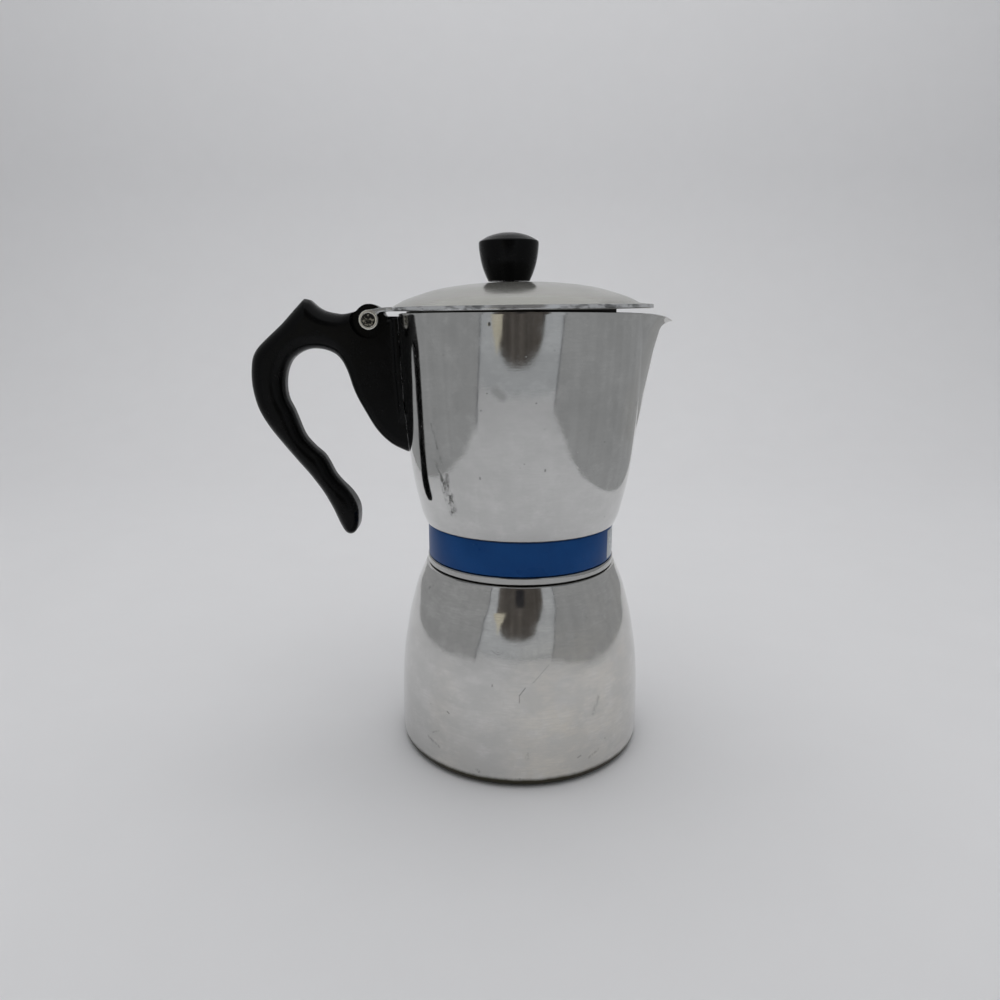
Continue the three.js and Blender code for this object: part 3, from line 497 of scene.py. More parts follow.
def holed_disc(name, radius, low, high, rows, hole, dish=0.0):
    """A round plate with rings of small round holes, pressed slightly if dish is given."""
    outline = circle(0, 0, radius, 128)
    points = [Vector(p) for p in outline]
    edges = [(k, (k + 1) % 128) for k in range(128)]
    loops = []
    spacing = (radius - 3.2) / rows
    for row in range(rows + 1):
        for k in range(max(1, 6 * row)):
            angle = TURN * k / max(1, 6 * row)
            loops.append((spacing * row * math.cos(angle), spacing * row * math.sin(angle)))
    for x, y in loops:
        start = len(points)
        points += [Vector(p) for p in circle(x, y, hole, 12)]
        edges += [(start + k, start + (k + 1) % 12) for k in range(12)]
    flat, _, faces, _, _, _ = geometry.delaunay_2d_cdt(points, edges, [], 0, 1e-5)
    kept = []
    for face in faces:
        centre = sum((flat[i] for i in face), Vector((0, 0))) / len(face)
        near = min(math.hypot(centre.x - x, centre.y - y) for x, y in loops)
        if near > hole and centre.length < radius:
            kept.append(tuple(face))
    vertices = [(p.x, p.y, low + dish * (1 - (p.length / radius)**2)) for p in flat]
    obj = mesh_object(name, vertices, kept)
    apply_modifier(obj, "SOLIDIFY", thickness=(high - low) * MM, offset=1)
    top = max(v.co.z for v in obj.data.vertices) / MM
    shift(obj, 0, 0, high + dish - top)
    tidy_mesh(obj, 30)
    return obj


def gasket():
    low, high = gasket_low[2], gasket_high[2]
    outer = gasket_high[0]
    profile = rounded([
        (25.5, low + 0.7, 0), (25.5, low, 0.3), (outer, low, 0.4), (outer, high, 0.4), (27, high, 0.3),
        (27, low + 1.4, 0.1), (25.5, low + 1.4, 0.3), (25.5, low + 0.8, 0),
    ], 3)
    return revolved("rubber_gasket", profile, 128)


# ---------- upper vessel ----------
SPOUT_STEPS = 28  # points from the spout's tip to where it meets the round wall
RING_POINTS = 216


def spouted_ring(radius, height, reach=None, half_angle=SPOUT_ROOT_ANGLE, sharpness=0.0, drop=0.0):
    """One level of a round wall with a V-shaped spout towards +X."""
    reach = radius if reach is None else reach
    corner = (radius * math.cos(half_angle), radius * math.sin(half_angle))
    power = 2 - 0.8 * sharpness
    ring = []
    for i in range(-SPOUT_STEPS, SPOUT_STEPS + 1):
        t = i / SPOUT_STEPS
        x = reach - (reach - corner[0]) * abs(t)**power
        ring.append((x, corner[1] * t, height - drop * (1 - abs(t))**2.4))
    rest = RING_POINTS - 2 * SPOUT_STEPS
    for i in range(1, rest):
        angle = half_angle + (TURN - 2 * half_angle) * i / rest
        ring.append((radius * math.cos(angle), radius * math.sin(angle), height))
    return ring


def vessel_level(height, inset, top=None, drop_share=1.0):
    """One level of the jug's wall, moved in by 'inset', with the spout growing towards the rim."""
    rise = max(0.0, (height - SPOUT_START) / (RIM - SPOUT_START))
    radius = vessel_radius(height) - inset
    reach = radius if height < SPOUT_START else max(radius, ridge_radius(height) - inset)
    drop = LIP_DROP * drop_share * max(0, (height - 174) / (RIM - 174))**2
    return spouted_ring(
        radius, height if top is None else top, reach,
        SPOUT_ROOT_ANGLE + (SPOUT_HALF_ANGLE - SPOUT_ROOT_ANGLE) * rise,
        min(1, rise * 3), drop)


def vessel():
    skirt = rounded([
        (7.3, FLOOR_UNDERSIDE + 1, 0), (7.3, FLOOR_UNDERSIDE, 0.3), (24, FLOOR_UNDERSIDE, 0.5),
        (25, GASKET_SEAT, 0.3), (33.2, GASKET_SEAT, 0.2), (33.2, 92.1, 0.2), (SKIRT_BORE, 92.1, 0),
    ], 3)
    bore = [(SKIRT_BORE, z) for z in np.linspace(91.9, SKIRT_BOTTOM + 1, 64)]
    outside = rounded([
        (SKIRT_BORE, SKIRT_BOTTOM + 1, 0), (SKIRT_BORE + 1, SKIRT_BOTTOM, 0.3),
        (SKIRT_FLANGE_RADIUS, SKIRT_BOTTOM, 0.5), (SKIRT_FLANGE_RADIUS, SKIRT_FLANGE_TOP, 0.5),
        (BAND_SEAT_RADIUS, SKIRT_FLANGE_TOP, 0.1), (BAND_SEAT_RADIUS, WAIST, 0.1),
        (VESSEL_WALL[0][0], WAIST, 0.35), (vessel_radius(WAIST + 1.2), WAIST + 1.2, 0),
    ], 4)
    rings = [spouted_ring(r, z) for r, z in skirt]
    for radius, height in bore:
        ring = spouted_ring(radius, height)
        cut_ring = []
        for x, y, z in ring:
            depth = 0.9 * thread_form(math.atan2(y, x) % TURN, z, THREAD_START)
            scale = 1 + depth / radius
            cut_ring.append((x * scale, y * scale, z))
        rings.append(cut_ring)
    rings += [spouted_ring(r, z) for r, z in outside[1:]]
    for z in np.linspace(WAIST + 2, RIM - 0.35, 110):
        rings.append(vessel_level(z, 0))
    edge = VESSEL_WALL_THICKNESS
    for turn in np.linspace(0.3, 2.84, 7):
        inset = edge / 2 * (1 - math.cos(turn))
        share = 1 + (LIP_INNER_SHARE - 1) * inset / edge
        rings.append(vessel_level(RIM, inset, RIM - 0.35 * (1 - math.sin(turn)), share))
    for z in np.linspace(RIM - 0.5, 104, 60):
        rings.append(vessel_level(z, edge, drop_share=LIP_INNER_SHARE))
    rings += [spouted_ring(r, z) for r, z in ((40.6, 102.4), (39.6, 101.4), (38, FLOOR_TOP), (20, FLOOR_TOP),
                                              (7.6, FLOOR_TOP), (7.3, FLOOR_TOP - 0.3))]
    shell = mesh_object("pouring_vessel", *lofted(rings, True), sharp_degrees=28)
    for z in HANDLE_SCREW_HEIGHTS.values():
        carve(shell, rod("tool", SCREW_HOLE_RADIUS, -60, -40, "x", (0, 0, z), 32, 0.01))
    tidy_mesh(shell, 28)
    return shell


def column():
    profile = rounded([
        (0, 152.8), (2.6, 151.6, 1), (3.5, 149, 1), (4.8, 104, 0), (4.8, 97, 0.3), (10, 97, 0.2),
        (10, 97.9, 0.2), (7, 97.9, 0.2), (7, FLOOR_TOP + GAP, 0.2), (8.4, FLOOR_TOP + GAP, 0.4),
        (8.4, FLOOR_TOP + 1.2, 0.6), (6.6, FLOOR_TOP + 3, 2), (5.2, 149, 2), (4.2, 153, 2),
        (1.8, 154.6, 1), (0, 155),
    ])
    tube = revolved("coffee_riser", profile, 72)
    slot = prism("tool", [(-8, 139), (8, 139), (8, 147), (-8, 147)], -1.5, 1.5)
    carve(tube, slot)
    tidy_mesh(tube, 30)
    return tube


def band():
    low, high = band_low[2], band_high[2]
    profile = rounded([
        (BAND_SEAT_RADIUS + GAP, low + 1, 0), (BAND_SEAT_RADIUS + GAP, low, 0.2), (BAND_RADIUS, low, 0.35),
        (BAND_RADIUS, high, 0.35), (BAND_SEAT_RADIUS + GAP, high, 0.2), (BAND_SEAT_RADIUS + GAP, low + 2, 0),
    ])
    return revolved("waist_band", profile, 200)


# ---------- handle ----------
HANDLE_TOP = [(-71, 180.2), (-74, 180), (-79.6, 181), (-83.1, 182.7), (-87.0, 186.1)]
HANDLE_BACK = [
    (-88.6, 186.1), (-92.5, 182.2), (-98.6, 175.9), (-105.7, 169.6), (-109.4, 165.8), (-111.5, 161.4),
    (-112.3, 153.8), (-111.6, 146.8), (-109.7, 140.2), (-106, 133.5), (-101, 126.7), (-95.6, 119.9),
    (-90, 113), (-85.1, 106), (-81.3, 98.9), (-78.3, 91.8), (-76.4, 88.4),
]
HANDLE_FINGERS = [
    (-74.2, 87.1), (-71.9, 87.9), (-70.3, 90.6), (-69.7, 95), (-70.1, 99.8), (-72.9, 105.4), (-78.9, 112.6),
    (-81.7, 118.1), (-84, 121.9), (-87.6, 125.2), (-91.5, 129.9), (-93.9, 136), (-95.7, 141),
    (-97.9, 146), (-98.35, 152), (-97.1, 158), (-94.2, 162.6), (-88.8, 165.6), (-83.2, 166),
    (-78.2, 164.6), (-74.7, 161.9), (-72, 157), (-69.3, 149), (-65.2, 140.8), (-60.3, 132.6),
    (-54.5, 126.9), (-47.8, 123.5),
]


def resampled(points, spacing):
    """Points evenly spaced along an open polyline, its ends included."""
    points = np.array(points, float)
    steps = np.linalg.norm(np.diff(points, axis=0), axis=1)
    along = np.concatenate([[0], np.cumsum(steps)])
    count = max(2, int(round(along[-1] / spacing)) + 1)
    places = np.linspace(0, along[-1], count)
    return [(np.interp(s, along, points[:, 0]), np.interp(s, along, points[:, 1])) for s in places]


def handle_outline():
    """The handle's closed side outline as (x, z) points, from its root over the ear and the grip."""
    ear = [(HINGE[0] + EAR_RADIUS * math.cos(a), HINGE[2] + EAR_RADIUS * math.sin(a))
           for a in np.linspace(0.2, 2.6, 24)]
    top = smooth_curve(HANDLE_TOP, 6)
    rest = smooth_curve(HANDLE_BACK + HANDLE_FINGERS, 6)
    parts = [
        [(-44, 179), (-55.6, 179)], ear + top, rest,
        [(-47.8, 123.5), (-44, 123.3)], [(-44, 123.3), (-44, 179)],
    ]
    outline = []
    for part in parts:
        outline += resampled(part, 0.8)[:-1]
    return outline


def distance_to_outline(points, outline):
    """The distance from each point to a closed polyline."""
    points = np.array(points, float)
    best = np.full(len(points), np.inf)
    corners = np.array(outline, float)
    for a, b in zip(corners, np.roll(corners, -1, axis=0)):
        span = b - a
        t = np.clip(((points - a) @ span) / (span @ span), 0, 1)
        gap = np.linalg.norm(points - (a + t[:, None] * span), axis=1)
        best = np.minimum(best, gap)
    return best


def inside_outline(points, outline):
    """Whether each point is inside a closed polyline, by counting the edges to its left."""
    points = np.array(points, float)
    inside = np.zeros(len(points), bool)
    corners = np.array(outline, float)
    for a, b in zip(corners, np.roll(corners, -1, axis=0)):
        crosses = (a[1] > points[:, 1]) != (b[1] > points[:, 1])
        with np.errstate(divide="ignore", invalid="ignore"):
            x = a[0] + (points[:, 1] - a[1]) * (b[0] - a[0]) / (b[1] - a[1])
        inside ^= crosses & (points[:, 0] < x)
    return inside


GRIP_START_X = -68
GRIP_BLEND = 9  # how far the edge takes to grow rounder beyond that
EDGE_FALL = 3.4
GRIP_EXTRA_FALL = 3.3


def handle_surface(depth, x):
    """How far the handle's side stands from its middle plane, at a depth inside its outline.

    The edge is rounded all along, and more so on the grip, beyond the hinge.
    """
    grip_share = min(1, max(0, (GRIP_START_X - x) / GRIP_BLEND))
    edge = HANDLE_EDGE + GRIP_EXTRA_EDGE * grip_share
    if depth >= edge:
        return HANDLE_HALF_WIDTH
    t = 1 - depth / edge
    fall = EDGE_FALL + GRIP_EXTRA_FALL * grip_share
    return HANDLE_HALF_WIDTH - fall * (1 - math.sqrt(max(0, 1 - 0.96 * t * t))) - 0.25 * t


def handle_blank():
    """The grip: its outline filled with points, raised at each side by their depth inside it."""
    outline = handle_outline()
    corners = np.array(outline)
    ahead = np.roll(corners, -1, axis=0) - np.roll(corners, 1, axis=0)
    ahead /= np.linalg.norm(ahead, axis=1)[:, None]
    inward = np.stack([-ahead[:, 1], ahead[:, 0]], axis=1)
    points = list(outline)
    for depth in (0.15, 0.4, 0.8, 1.3, 1.9, 2.5, 3.1, 3.7, 4.3, 5.0, 5.6):
        ring = corners + inward * depth
        keep = (distance_to_outline(ring, outline) > depth * 0.985) & inside_outline(ring, outline)
        points += [tuple(p) for p in ring[keep]]
    low, high = corners.min(0), corners.max(0)
    grid = [(x, z) for x in np.arange(low[0], high[0], 2.2) for z in np.arange(low[1], high[1], 2.2)]
    far = (distance_to_outline(grid, outline) > 6.3) & inside_outline(grid, outline)
    points += [g for g, keep in zip(grid, far) if keep]
    count = len(outline)
    edges = [(k, (k + 1) % count) for k in range(count)]
    flat, _, faces, _, _, _ = geometry.delaunay_2d_cdt([Vector(p) for p in points], edges, [], 1, 1e-5)
    flat = np.array([tuple(p) for p in flat])
    depth = distance_to_outline(flat, outline)
    side = np.array([handle_surface(d, x) for d, x in zip(depth, flat[:, 0])])
    n = len(flat)
    vertices = [(p[0], -s, p[1]) for p, s in zip(flat, side)] + [(p[0], s, p[1]) for p, s in zip(flat, side)]
    skin = [tuple(f) for f in faces] + [tuple(i + n for i in reversed(f)) for f in faces]
    on_edge = {}
    for face in faces:
        for a, b in zip(face, face[1:] + face[:1]):
            on_edge[(a, b)] = on_edge.get((a, b), 0) + 1
    rim = [(a, b) for a, b in on_edge if (b, a) not in on_edge]
    skin += [(b, a, a + n, b + n) for a, b in rim]
    return mesh_object("grip_handle", vertices, skin, 50)


def vessel_envelope(margin):
    """A solid that fills the jug out to 'margin' past its wall, to cut the handle's seat with."""
    wall = [(vessel_radius(z) + margin, z) for z in np.linspace(WAIST + 1, RIM, 60)]
    return revolved("tool", [(0, WAIST + 1)] + wall + [(VESSEL_WALL[-1][0] + margin, 190), (0, 190)], 240)


def handle_pad():
    """The shield-shaped pad between the grip and the vessel's wall."""
    near = [(9.3, 150), (8.7, 141), (6, 132.5)]
    half = smooth_curve(near + [(0, 127.5)] + [(-y, z) for y, z in reversed(near)], 8)
    shield = [(-9.3, 178.2), (9.3, 178.2)] + half
    rings = [[(x, y, z) for y, z in shield] for x in (-60, -40)]
    pad = mesh_object("pad", *lofted(rings, False))
    carve(pad, vessel_envelope(2.3), "INTERSECT")
    return pad


GRIP_VOXEL = 0.45
GRIP_SMOOTHING = {"factor": 0.5, "iterations": 6}
GRIP_KEPT_SHARE = 0.4  # of the triangles, after smoothing


def handle():
    grip = handle_blank()
    carve(grip, handle_pad(), "UNION")
    apply_modifier(grip, "REMESH", mode="VOXEL", voxel_size=GRIP_VOXEL * MM)
    apply_modifier(grip, "SMOOTH", **GRIP_SMOOTHING)
    apply_modifier(grip, "DECIMATE", ratio=GRIP_KEPT_SHARE)
    carve(grip, vessel_envelope(GAP))
    for side in (-1, 1):
        near, far = sorted((side * EAR_HALF_WIDTH, side * 12))
        recess = KNUCKLE_RADIUS + KNUCKLE_RECESS
        carve(grip, rod("tool", recess, near, far, "y", (HINGE[0], 0, HINGE[2]), 96, 0.01))
        slot = prism("tool", [(HINGE[0], 179), (-48, 179), (-48, 188), (HINGE[0], 188)], near, far)
        carve(grip, slot)
    carve(grip, rod("tool", PIN_RADIUS + GAP, -12, 12, "y", (HINGE[0], 0, HINGE[2]), 40, 0.01))
    for z in HANDLE_SCREW_HEIGHTS.values():
        wall = -vessel_radius(z)
        carve(grip, rod("tool", INSERT_RADIUS + GAP, wall - 10, wall + 4, "x", (0, 0, z), 40, 0.01))
    tidy_mesh(grip, 38)
    return grip


# ---------- fasteners ----------
def screw(name, length):
    """A slotted pan-head screw with a turned thread; its head's underside is at zero, shank to -Z."""
    radius, height = SCREW_HEAD_RADIUS, SCREW_HEAD_HEIGHT
    shank = []
    for z in np.arange(-length + 1, -0.5, 0.1):
        crest = abs(((z / 0.7) % 1) - 0.5) * 2
        shank.append((SCREW_RADIUS - 0.3 * crest, z))
    profile = ([(0, -length), (SCREW_RADIUS - 0.7, -length)] + shank
               + [(SCREW_RADIUS - 0.2, -0.2), (SCREW_RADIUS, 0), (radius - 0.1, 0), (radius, 0.15)]
               + [(radius, height * 0.45), (radius * 0.95, height * 0.68),
                  (radius * 0.8, height * 0.87), (radius * 0.5, height * 0.97), (0, height)])
    body = revolved(name, profile, 48)
    slot = prism("tool", [(-9, height * 0.5), (9, height * 0.5), (9, 9), (-9, 9)], -0.5, 0.5)
    carve(body, slot)
    tidy_mesh(body, 30)
    return body


def to_handle_stack(obj, z):
    """From the fastener's own frame to the vessel's inner wall, its head facing the vessel's middle."""
    move(obj, Matrix.Rotation(math.pi / 2, 4, "Y"))
    return shift(obj, -(vessel_radius(z) - VESSEL_WALL_THICKNESS), 0, z)


def threaded_insert(name, low, high):
    """A knurled brass insert."""
    def knurl(angle, radius, _height):
        return -0.18 * (0.5 + 0.5 * math.cos(angle * 28)) if radius > INSERT_RADIUS - 0.05 else 0

    profile = rounded([
        (SCREW_RADIUS + 0.3, low + 1, 0), (SCREW_RADIUS + 0.3, low, 0.2), (INSERT_RADIUS, low, 0.3),
        (INSERT_RADIUS, high, 0.3), (SCREW_RADIUS + 0.3, high, 0.2), (SCREW_RADIUS + 0.3, low + 2, 0),
    ], 2)
    return revolved(name, profile, 112, knurl)


# ---------- lid ----------
def to_lid(obj):
    """Leans a piece of the shut lid about the hinge by its small rest angles."""
    place = Matrix.Translation(Vector(HINGE) * MM)
    lean = Matrix.Rotation(LID_SAG, 4, "X") @ Matrix.Rotation(-LID_TILT, 4, "Y")
    return move(obj, place @ lean @ place.inverted())


def lid_dish():
    top_z = LID_BOTTOM + LID_SHEET

    def beaked(radius, height, reach):
        return spouted_ring(radius, height, reach, SPOUT_HALF_ANGLE, 1.0)

    def plain(radius, height):
        return spouted_ring(radius, height, radius, SPOUT_HALF_ANGLE)

    top = [plain(r, dome_height(r)) for r in np.linspace(48.9, 0.4, 60)]
    under = [plain(r * 0.985, dome_height(r) - LID_SHEET) for r in np.linspace(0.4, 46.5, 50)]
    flange = [
        plain(48.2, LID_BOTTOM), beaked(LID_RADIUS - 0.3, LID_BOTTOM, LID_BEAK_REACH - 0.3),
        beaked(LID_RADIUS, LID_BOTTOM + 0.3, LID_BEAK_REACH), beaked(LID_RADIUS, top_z - 0.3, LID_BEAK_REACH),
        beaked(LID_RADIUS - 0.1, top_z - 0.08, LID_BEAK_REACH - 0.1),
        beaked(LID_RADIUS - 0.35, top_z, LID_BEAK_REACH - 0.35), plain(49.7, top_z + 0.5),
    ]
    dish = mesh_object("dish", *lofted(under + flange + top, False), sharp_degrees=26)
    shift(dish, LID_CENTRE, 0, 0)
    carve(dish, rod("tool", SCREW_HOLE_RADIUS, 180, 200, "z", (KNOB_X, 0, 0), 40, 0.01))
    return dish


def tongue_outline():
    top_z = LID_BOTTOM + LID_SHEET
    inner = smooth_curve([
        (-55.5, LID_BOTTOM + 0.02), (-57.4, LID_BOTTOM - 0.35), (-58.85, HINGE[2] + 1.65),
    ], 6)
    outer = smooth_curve([(HINGE[0] - 0.4, HINGE[2] + KNUCKLE_RADIUS - 0.03), (-59.3, top_z - 0.62),
                          (-56.8, top_z - 0.2), (-54.5, top_z - 0.03)], 6)
    return outer + [(-50, top_z - 0.03), (-50, LID_BOTTOM + 0.02)] + inner


def lid_knuckle(near, far):
    """One eye of the lid round the hinge pin."""
    bore = PIN_RADIUS + GAP
    profile = rounded([
        (bore, near + 1, 0), (bore, near, 0.2), (KNUCKLE_RADIUS, near, 0.35),
        (KNUCKLE_RADIUS, far, 0.35), (bore, far, 0.2), (bore, near + 1.5, 0)])
    ring = revolved("knuckle", profile, 64)
    move(ring, Matrix.Rotation(-math.pi / 2, 4, "X"))
    return shift(ring, HINGE[0], 0, HINGE[2])


def lid_skirt():
    """The ring under the lid that finds the vessel's mouth; it stops short of the spout."""
    inner, low = LID_SKIRT_RADIUS - 1.6, LID_BOTTOM - LID_SKIRT_DEPTH
    profile = rounded([
        (inner, LID_BOTTOM, 0), (inner, low, 0.4), (LID_SKIRT_RADIUS, low, 0.4),
        (LID_SKIRT_RADIUS, LID_BOTTOM + 0.6, 0), (inner, LID_BOTTOM + 0.6, 0),
    ])
    skirt = revolved("skirt", profile, 160)
    carve(skirt, prism("tool", [(LID_SKIRT_END, 170), (60, 170), (60, 185), (LID_SKIRT_END, 185)], -40, 40))
    return skirt


def lid():
    top_z = LID_BOTTOM + LID_SHEET
    parts = [lid_dish(), lid_skirt()]
    plate = [
        (-54.9, LID_BOTTOM + 0.03), (-48.5, LID_BOTTOM + 0.03), (-48.5, top_z - 0.04), (-54.9, top_z - 0.04),
    ]
    parts.append(prism("tongue", plate, -KNUCKLE_OUTER + 0.02, KNUCKLE_OUTER - 0.02, 0.3))
    for side in (-1, 1):
        near, far = sorted((side * KNUCKLE_INNER, side * KNUCKLE_OUTER))
        parts.append(prism("arm", tongue_outline(), near + 0.03, far - 0.03, 0.25))
        parts.append(lid_knuckle(near, far))
    whole = merge("hinged_lid", *parts)
    tidy_mesh(whole, 26)
    return to_lid(whole)


def knob():
    outline = [(8.3, 0), (8.5, 0.15), (8.68, 0.5)]
    outline += smooth_curve([(8.72, 0.65), (9.6, 2.6), (10.7, 5.6), (11.5, 9), (12, 12.6), (12.1, 14.5)], 6)
    outline += [(12.1, 14.8), (12.04, 15.1), (11.9, 15.35)]
    outline += smooth_curve([(11.7, 15.55), (8.4, 17.3), (4.4, 18.45), (0.6, 18.88)], 6)
    profile = [(0, 10.5), (3.7, 10.5), (3.7, 0.2), (3.9, 0)] + outline + [(0, 18.9)]
    base = LID_DOME[0][1] + GAP
    return to_lid(shift(revolved("lid_grip_knob", profile, 128), KNOB_X, 0, base))


# ---------- shader helpers ----------
class Shader:
    """A small builder for one node material."""

    def __init__(self, name):
        self.material = bpy.data.materials.new(name)
        self.material.use_nodes = True
        self.tree = self.material.node_tree
        self.tree.nodes.clear()
        self.output = self.node("ShaderNodeOutputMaterial")
        self.surface = self.node("ShaderNodeBsdfPrincipled")
        self.link(self.surface.outputs[0], self.output.inputs[0])
        place = self.node("ShaderNodeTexCoord")
        self.coordinate = place.outputs["Object"]
        self.surface_normal = place.outputs["Normal"]

    def node(self, kind, **settings):
        made = self.tree.nodes.new(kind)
        for key, value in settings.items():
            setattr(made, key, value)
        return made

    def link(self, source, target):
        self.tree.links.new(source, target)

    def set(self, **values):
        for name, value in values.items():
            self.surface.inputs[name.replace("_", " ")].default_value = value

    def math(self, operation, a, b=None, clamp=False):
        made = self.node("ShaderNodeMath", operation=operation, use_clamp=clamp)
        for socket, value in zip(made.inputs, (a, b)):
            if value is None:
                continue
            if isinstance(value, (int, float)):
                socket.default_value = value
            else:
                self.link(value, socket)
        return made.outputs[0]

    def axes(self):
        split = self.node("ShaderNodeSeparateXYZ")
        self.link(self.coordinate, split.inputs[0])
        return split.outputs

    def combine(self, x, y, z):
        made = self.node("ShaderNodeCombineXYZ")
        for socket, value in zip(made.inputs, (x, y, z)):
            if isinstance(value, (int, float)):
                socket.default_value = value
            else:
                self.link(value, socket)
        return made.outputs[0]

    def scaled(self, x, y, z):
        """Object coordinates stretched by a factor for each axis."""
        made = self.node("ShaderNodeMapping")
        made.inputs["Scale"].default_value = (x, y, z)
        self.link(self.coordinate, made.inputs["Vector"])
        return made.outputs[0]

    def turned(self, around, along):
        """Coordinates wrapped round the Z axis: angle times 'around', height times 'along'."""
        x, y, z = self.axes()
        angle = self.math("ARCTAN2", y, x)
        return self.combine(self.math("MULTIPLY", self.math("COSINE", angle), around),
                            self.math("MULTIPLY", self.math("SINE", angle), around),
                            self.math("MULTIPLY", z, along))

    def noise(self, vector, scale, detail=4.0, roughness=0.55):
        made = self.node("ShaderNodeTexNoise")
        self.link(vector, made.inputs["Vector"])
        made.inputs["Scale"].default_value = scale
        made.inputs["Detail"].default_value = detail
        made.inputs["Roughness"].default_value = roughness
        return made.outputs[0]

    def spots(self, vector, scale, size):
        """Small round spots: 1 in a spot's middle, 0 outside."""
        made = self.node("ShaderNodeTexVoronoi")
        self.link(vector, made.inputs["Vector"])
        made.inputs["Scale"].default_value = scale
        return self.math("SUBTRACT", 1, self.math("DIVIDE", made.outputs["Distance"], size), clamp=True)

    def range(self, value, low, high, to_low, to_high):
        made = self.node("ShaderNodeMapRange")
        self.link(value, made.inputs[0])
        for socket, number in zip(made.inputs[1:5], (low, high, to_low, to_high)):
            socket.default_value = number
        return made.outputs[0]

    def height(self):
        """Millimetres above the level that all heights here are measured from."""
        return self.math("SUBTRACT", self.math("DIVIDE", self.axes()[2], MM), BASE_CORNER)

    def inside(self):
        """1 where a wall faces the Z axis, 0 where it faces away from it or up."""
        x, y, _ = self.axes()
        facing = self.vector("DOT_PRODUCT", self.combine(x, y, 0.0), self.surface_normal, "Value")
        return self.range(facing, -0.001, -0.006, 0, 1)

    def unrolled(self, radius):
        """The wall laid flat, in millimetres: arc length from -Y towards -X, and height."""
        x, y, _ = self.axes()
        turn = self.math("ARCTAN2", self.math("MULTIPLY", x, -1), self.math("MULTIPLY", y, -1))
        return self.combine(self.math("MULTIPLY", turn, radius), self.height(), 0.0)

    def vector(self, operation, a, b, output="Vector"):
        made = self.node("ShaderNodeVectorMath", operation=operation)
        for socket, value in zip(made.inputs, (a, b)):
            if isinstance(value, tuple):
                socket.default_value = value
            else:
                self.link(value, socket)
        return made.outputs[output]

    def stroke(self, place, start, end, width, soft):
        """1 on a straight mark of the given half width between two places, fading to 0 outside it."""
        start, end = np.array([*start, 0.0]), np.array([*end, 0.0])
        span = end - start
        offset = self.vector("SUBTRACT", place, tuple(start))
        length = max(float(span @ span), 1e-6)
        travelled = self.vector("DOT_PRODUCT", offset, tuple(span), "Value")
        along = self.math("DIVIDE", travelled, length, clamp=True)
        on_line = self.combine(*(self.math("MULTIPLY", along, float(c)) for c in span))
        gap = self.vector("DISTANCE", offset, on_line, "Value")
        return self.range(gap, width, width + soft, 1, 0)

    def mix(self, factor, a, b):
        made = self.node("ShaderNodeMix", data_type="RGBA")
        for socket, value in ((made.inputs[0], factor), (made.inputs[6], a), (made.inputs[7], b)):
            if isinstance(value, (int, float)):
                socket.default_value = value
            elif isinstance(value, tuple):
                socket.default_value = (*value, 1)
            else:
                self.link(value, socket)
        return made.outputs[2]

    def bump(self, height, strength, distance, onto=None):
        made = self.node("ShaderNodeBump")
        made.inputs["Strength"].default_value = strength
        made.inputs["Distance"].default_value = distance
        self.link(height, made.inputs["Height"])
        if onto is not None:
            self.link(onto, made.inputs["Normal"])
        return made.outputs[0]

    def finish(self, colour=None, roughness=None, normal=None):
        if colour is not None:
            self.link(colour, self.surface.inputs["Base Color"])
        if roughness is not None:
            self.link(roughness, self.surface.inputs["Roughness"])
        if normal is not None:
            self.link(normal, self.surface.inputs["Normal"])
        return self.material


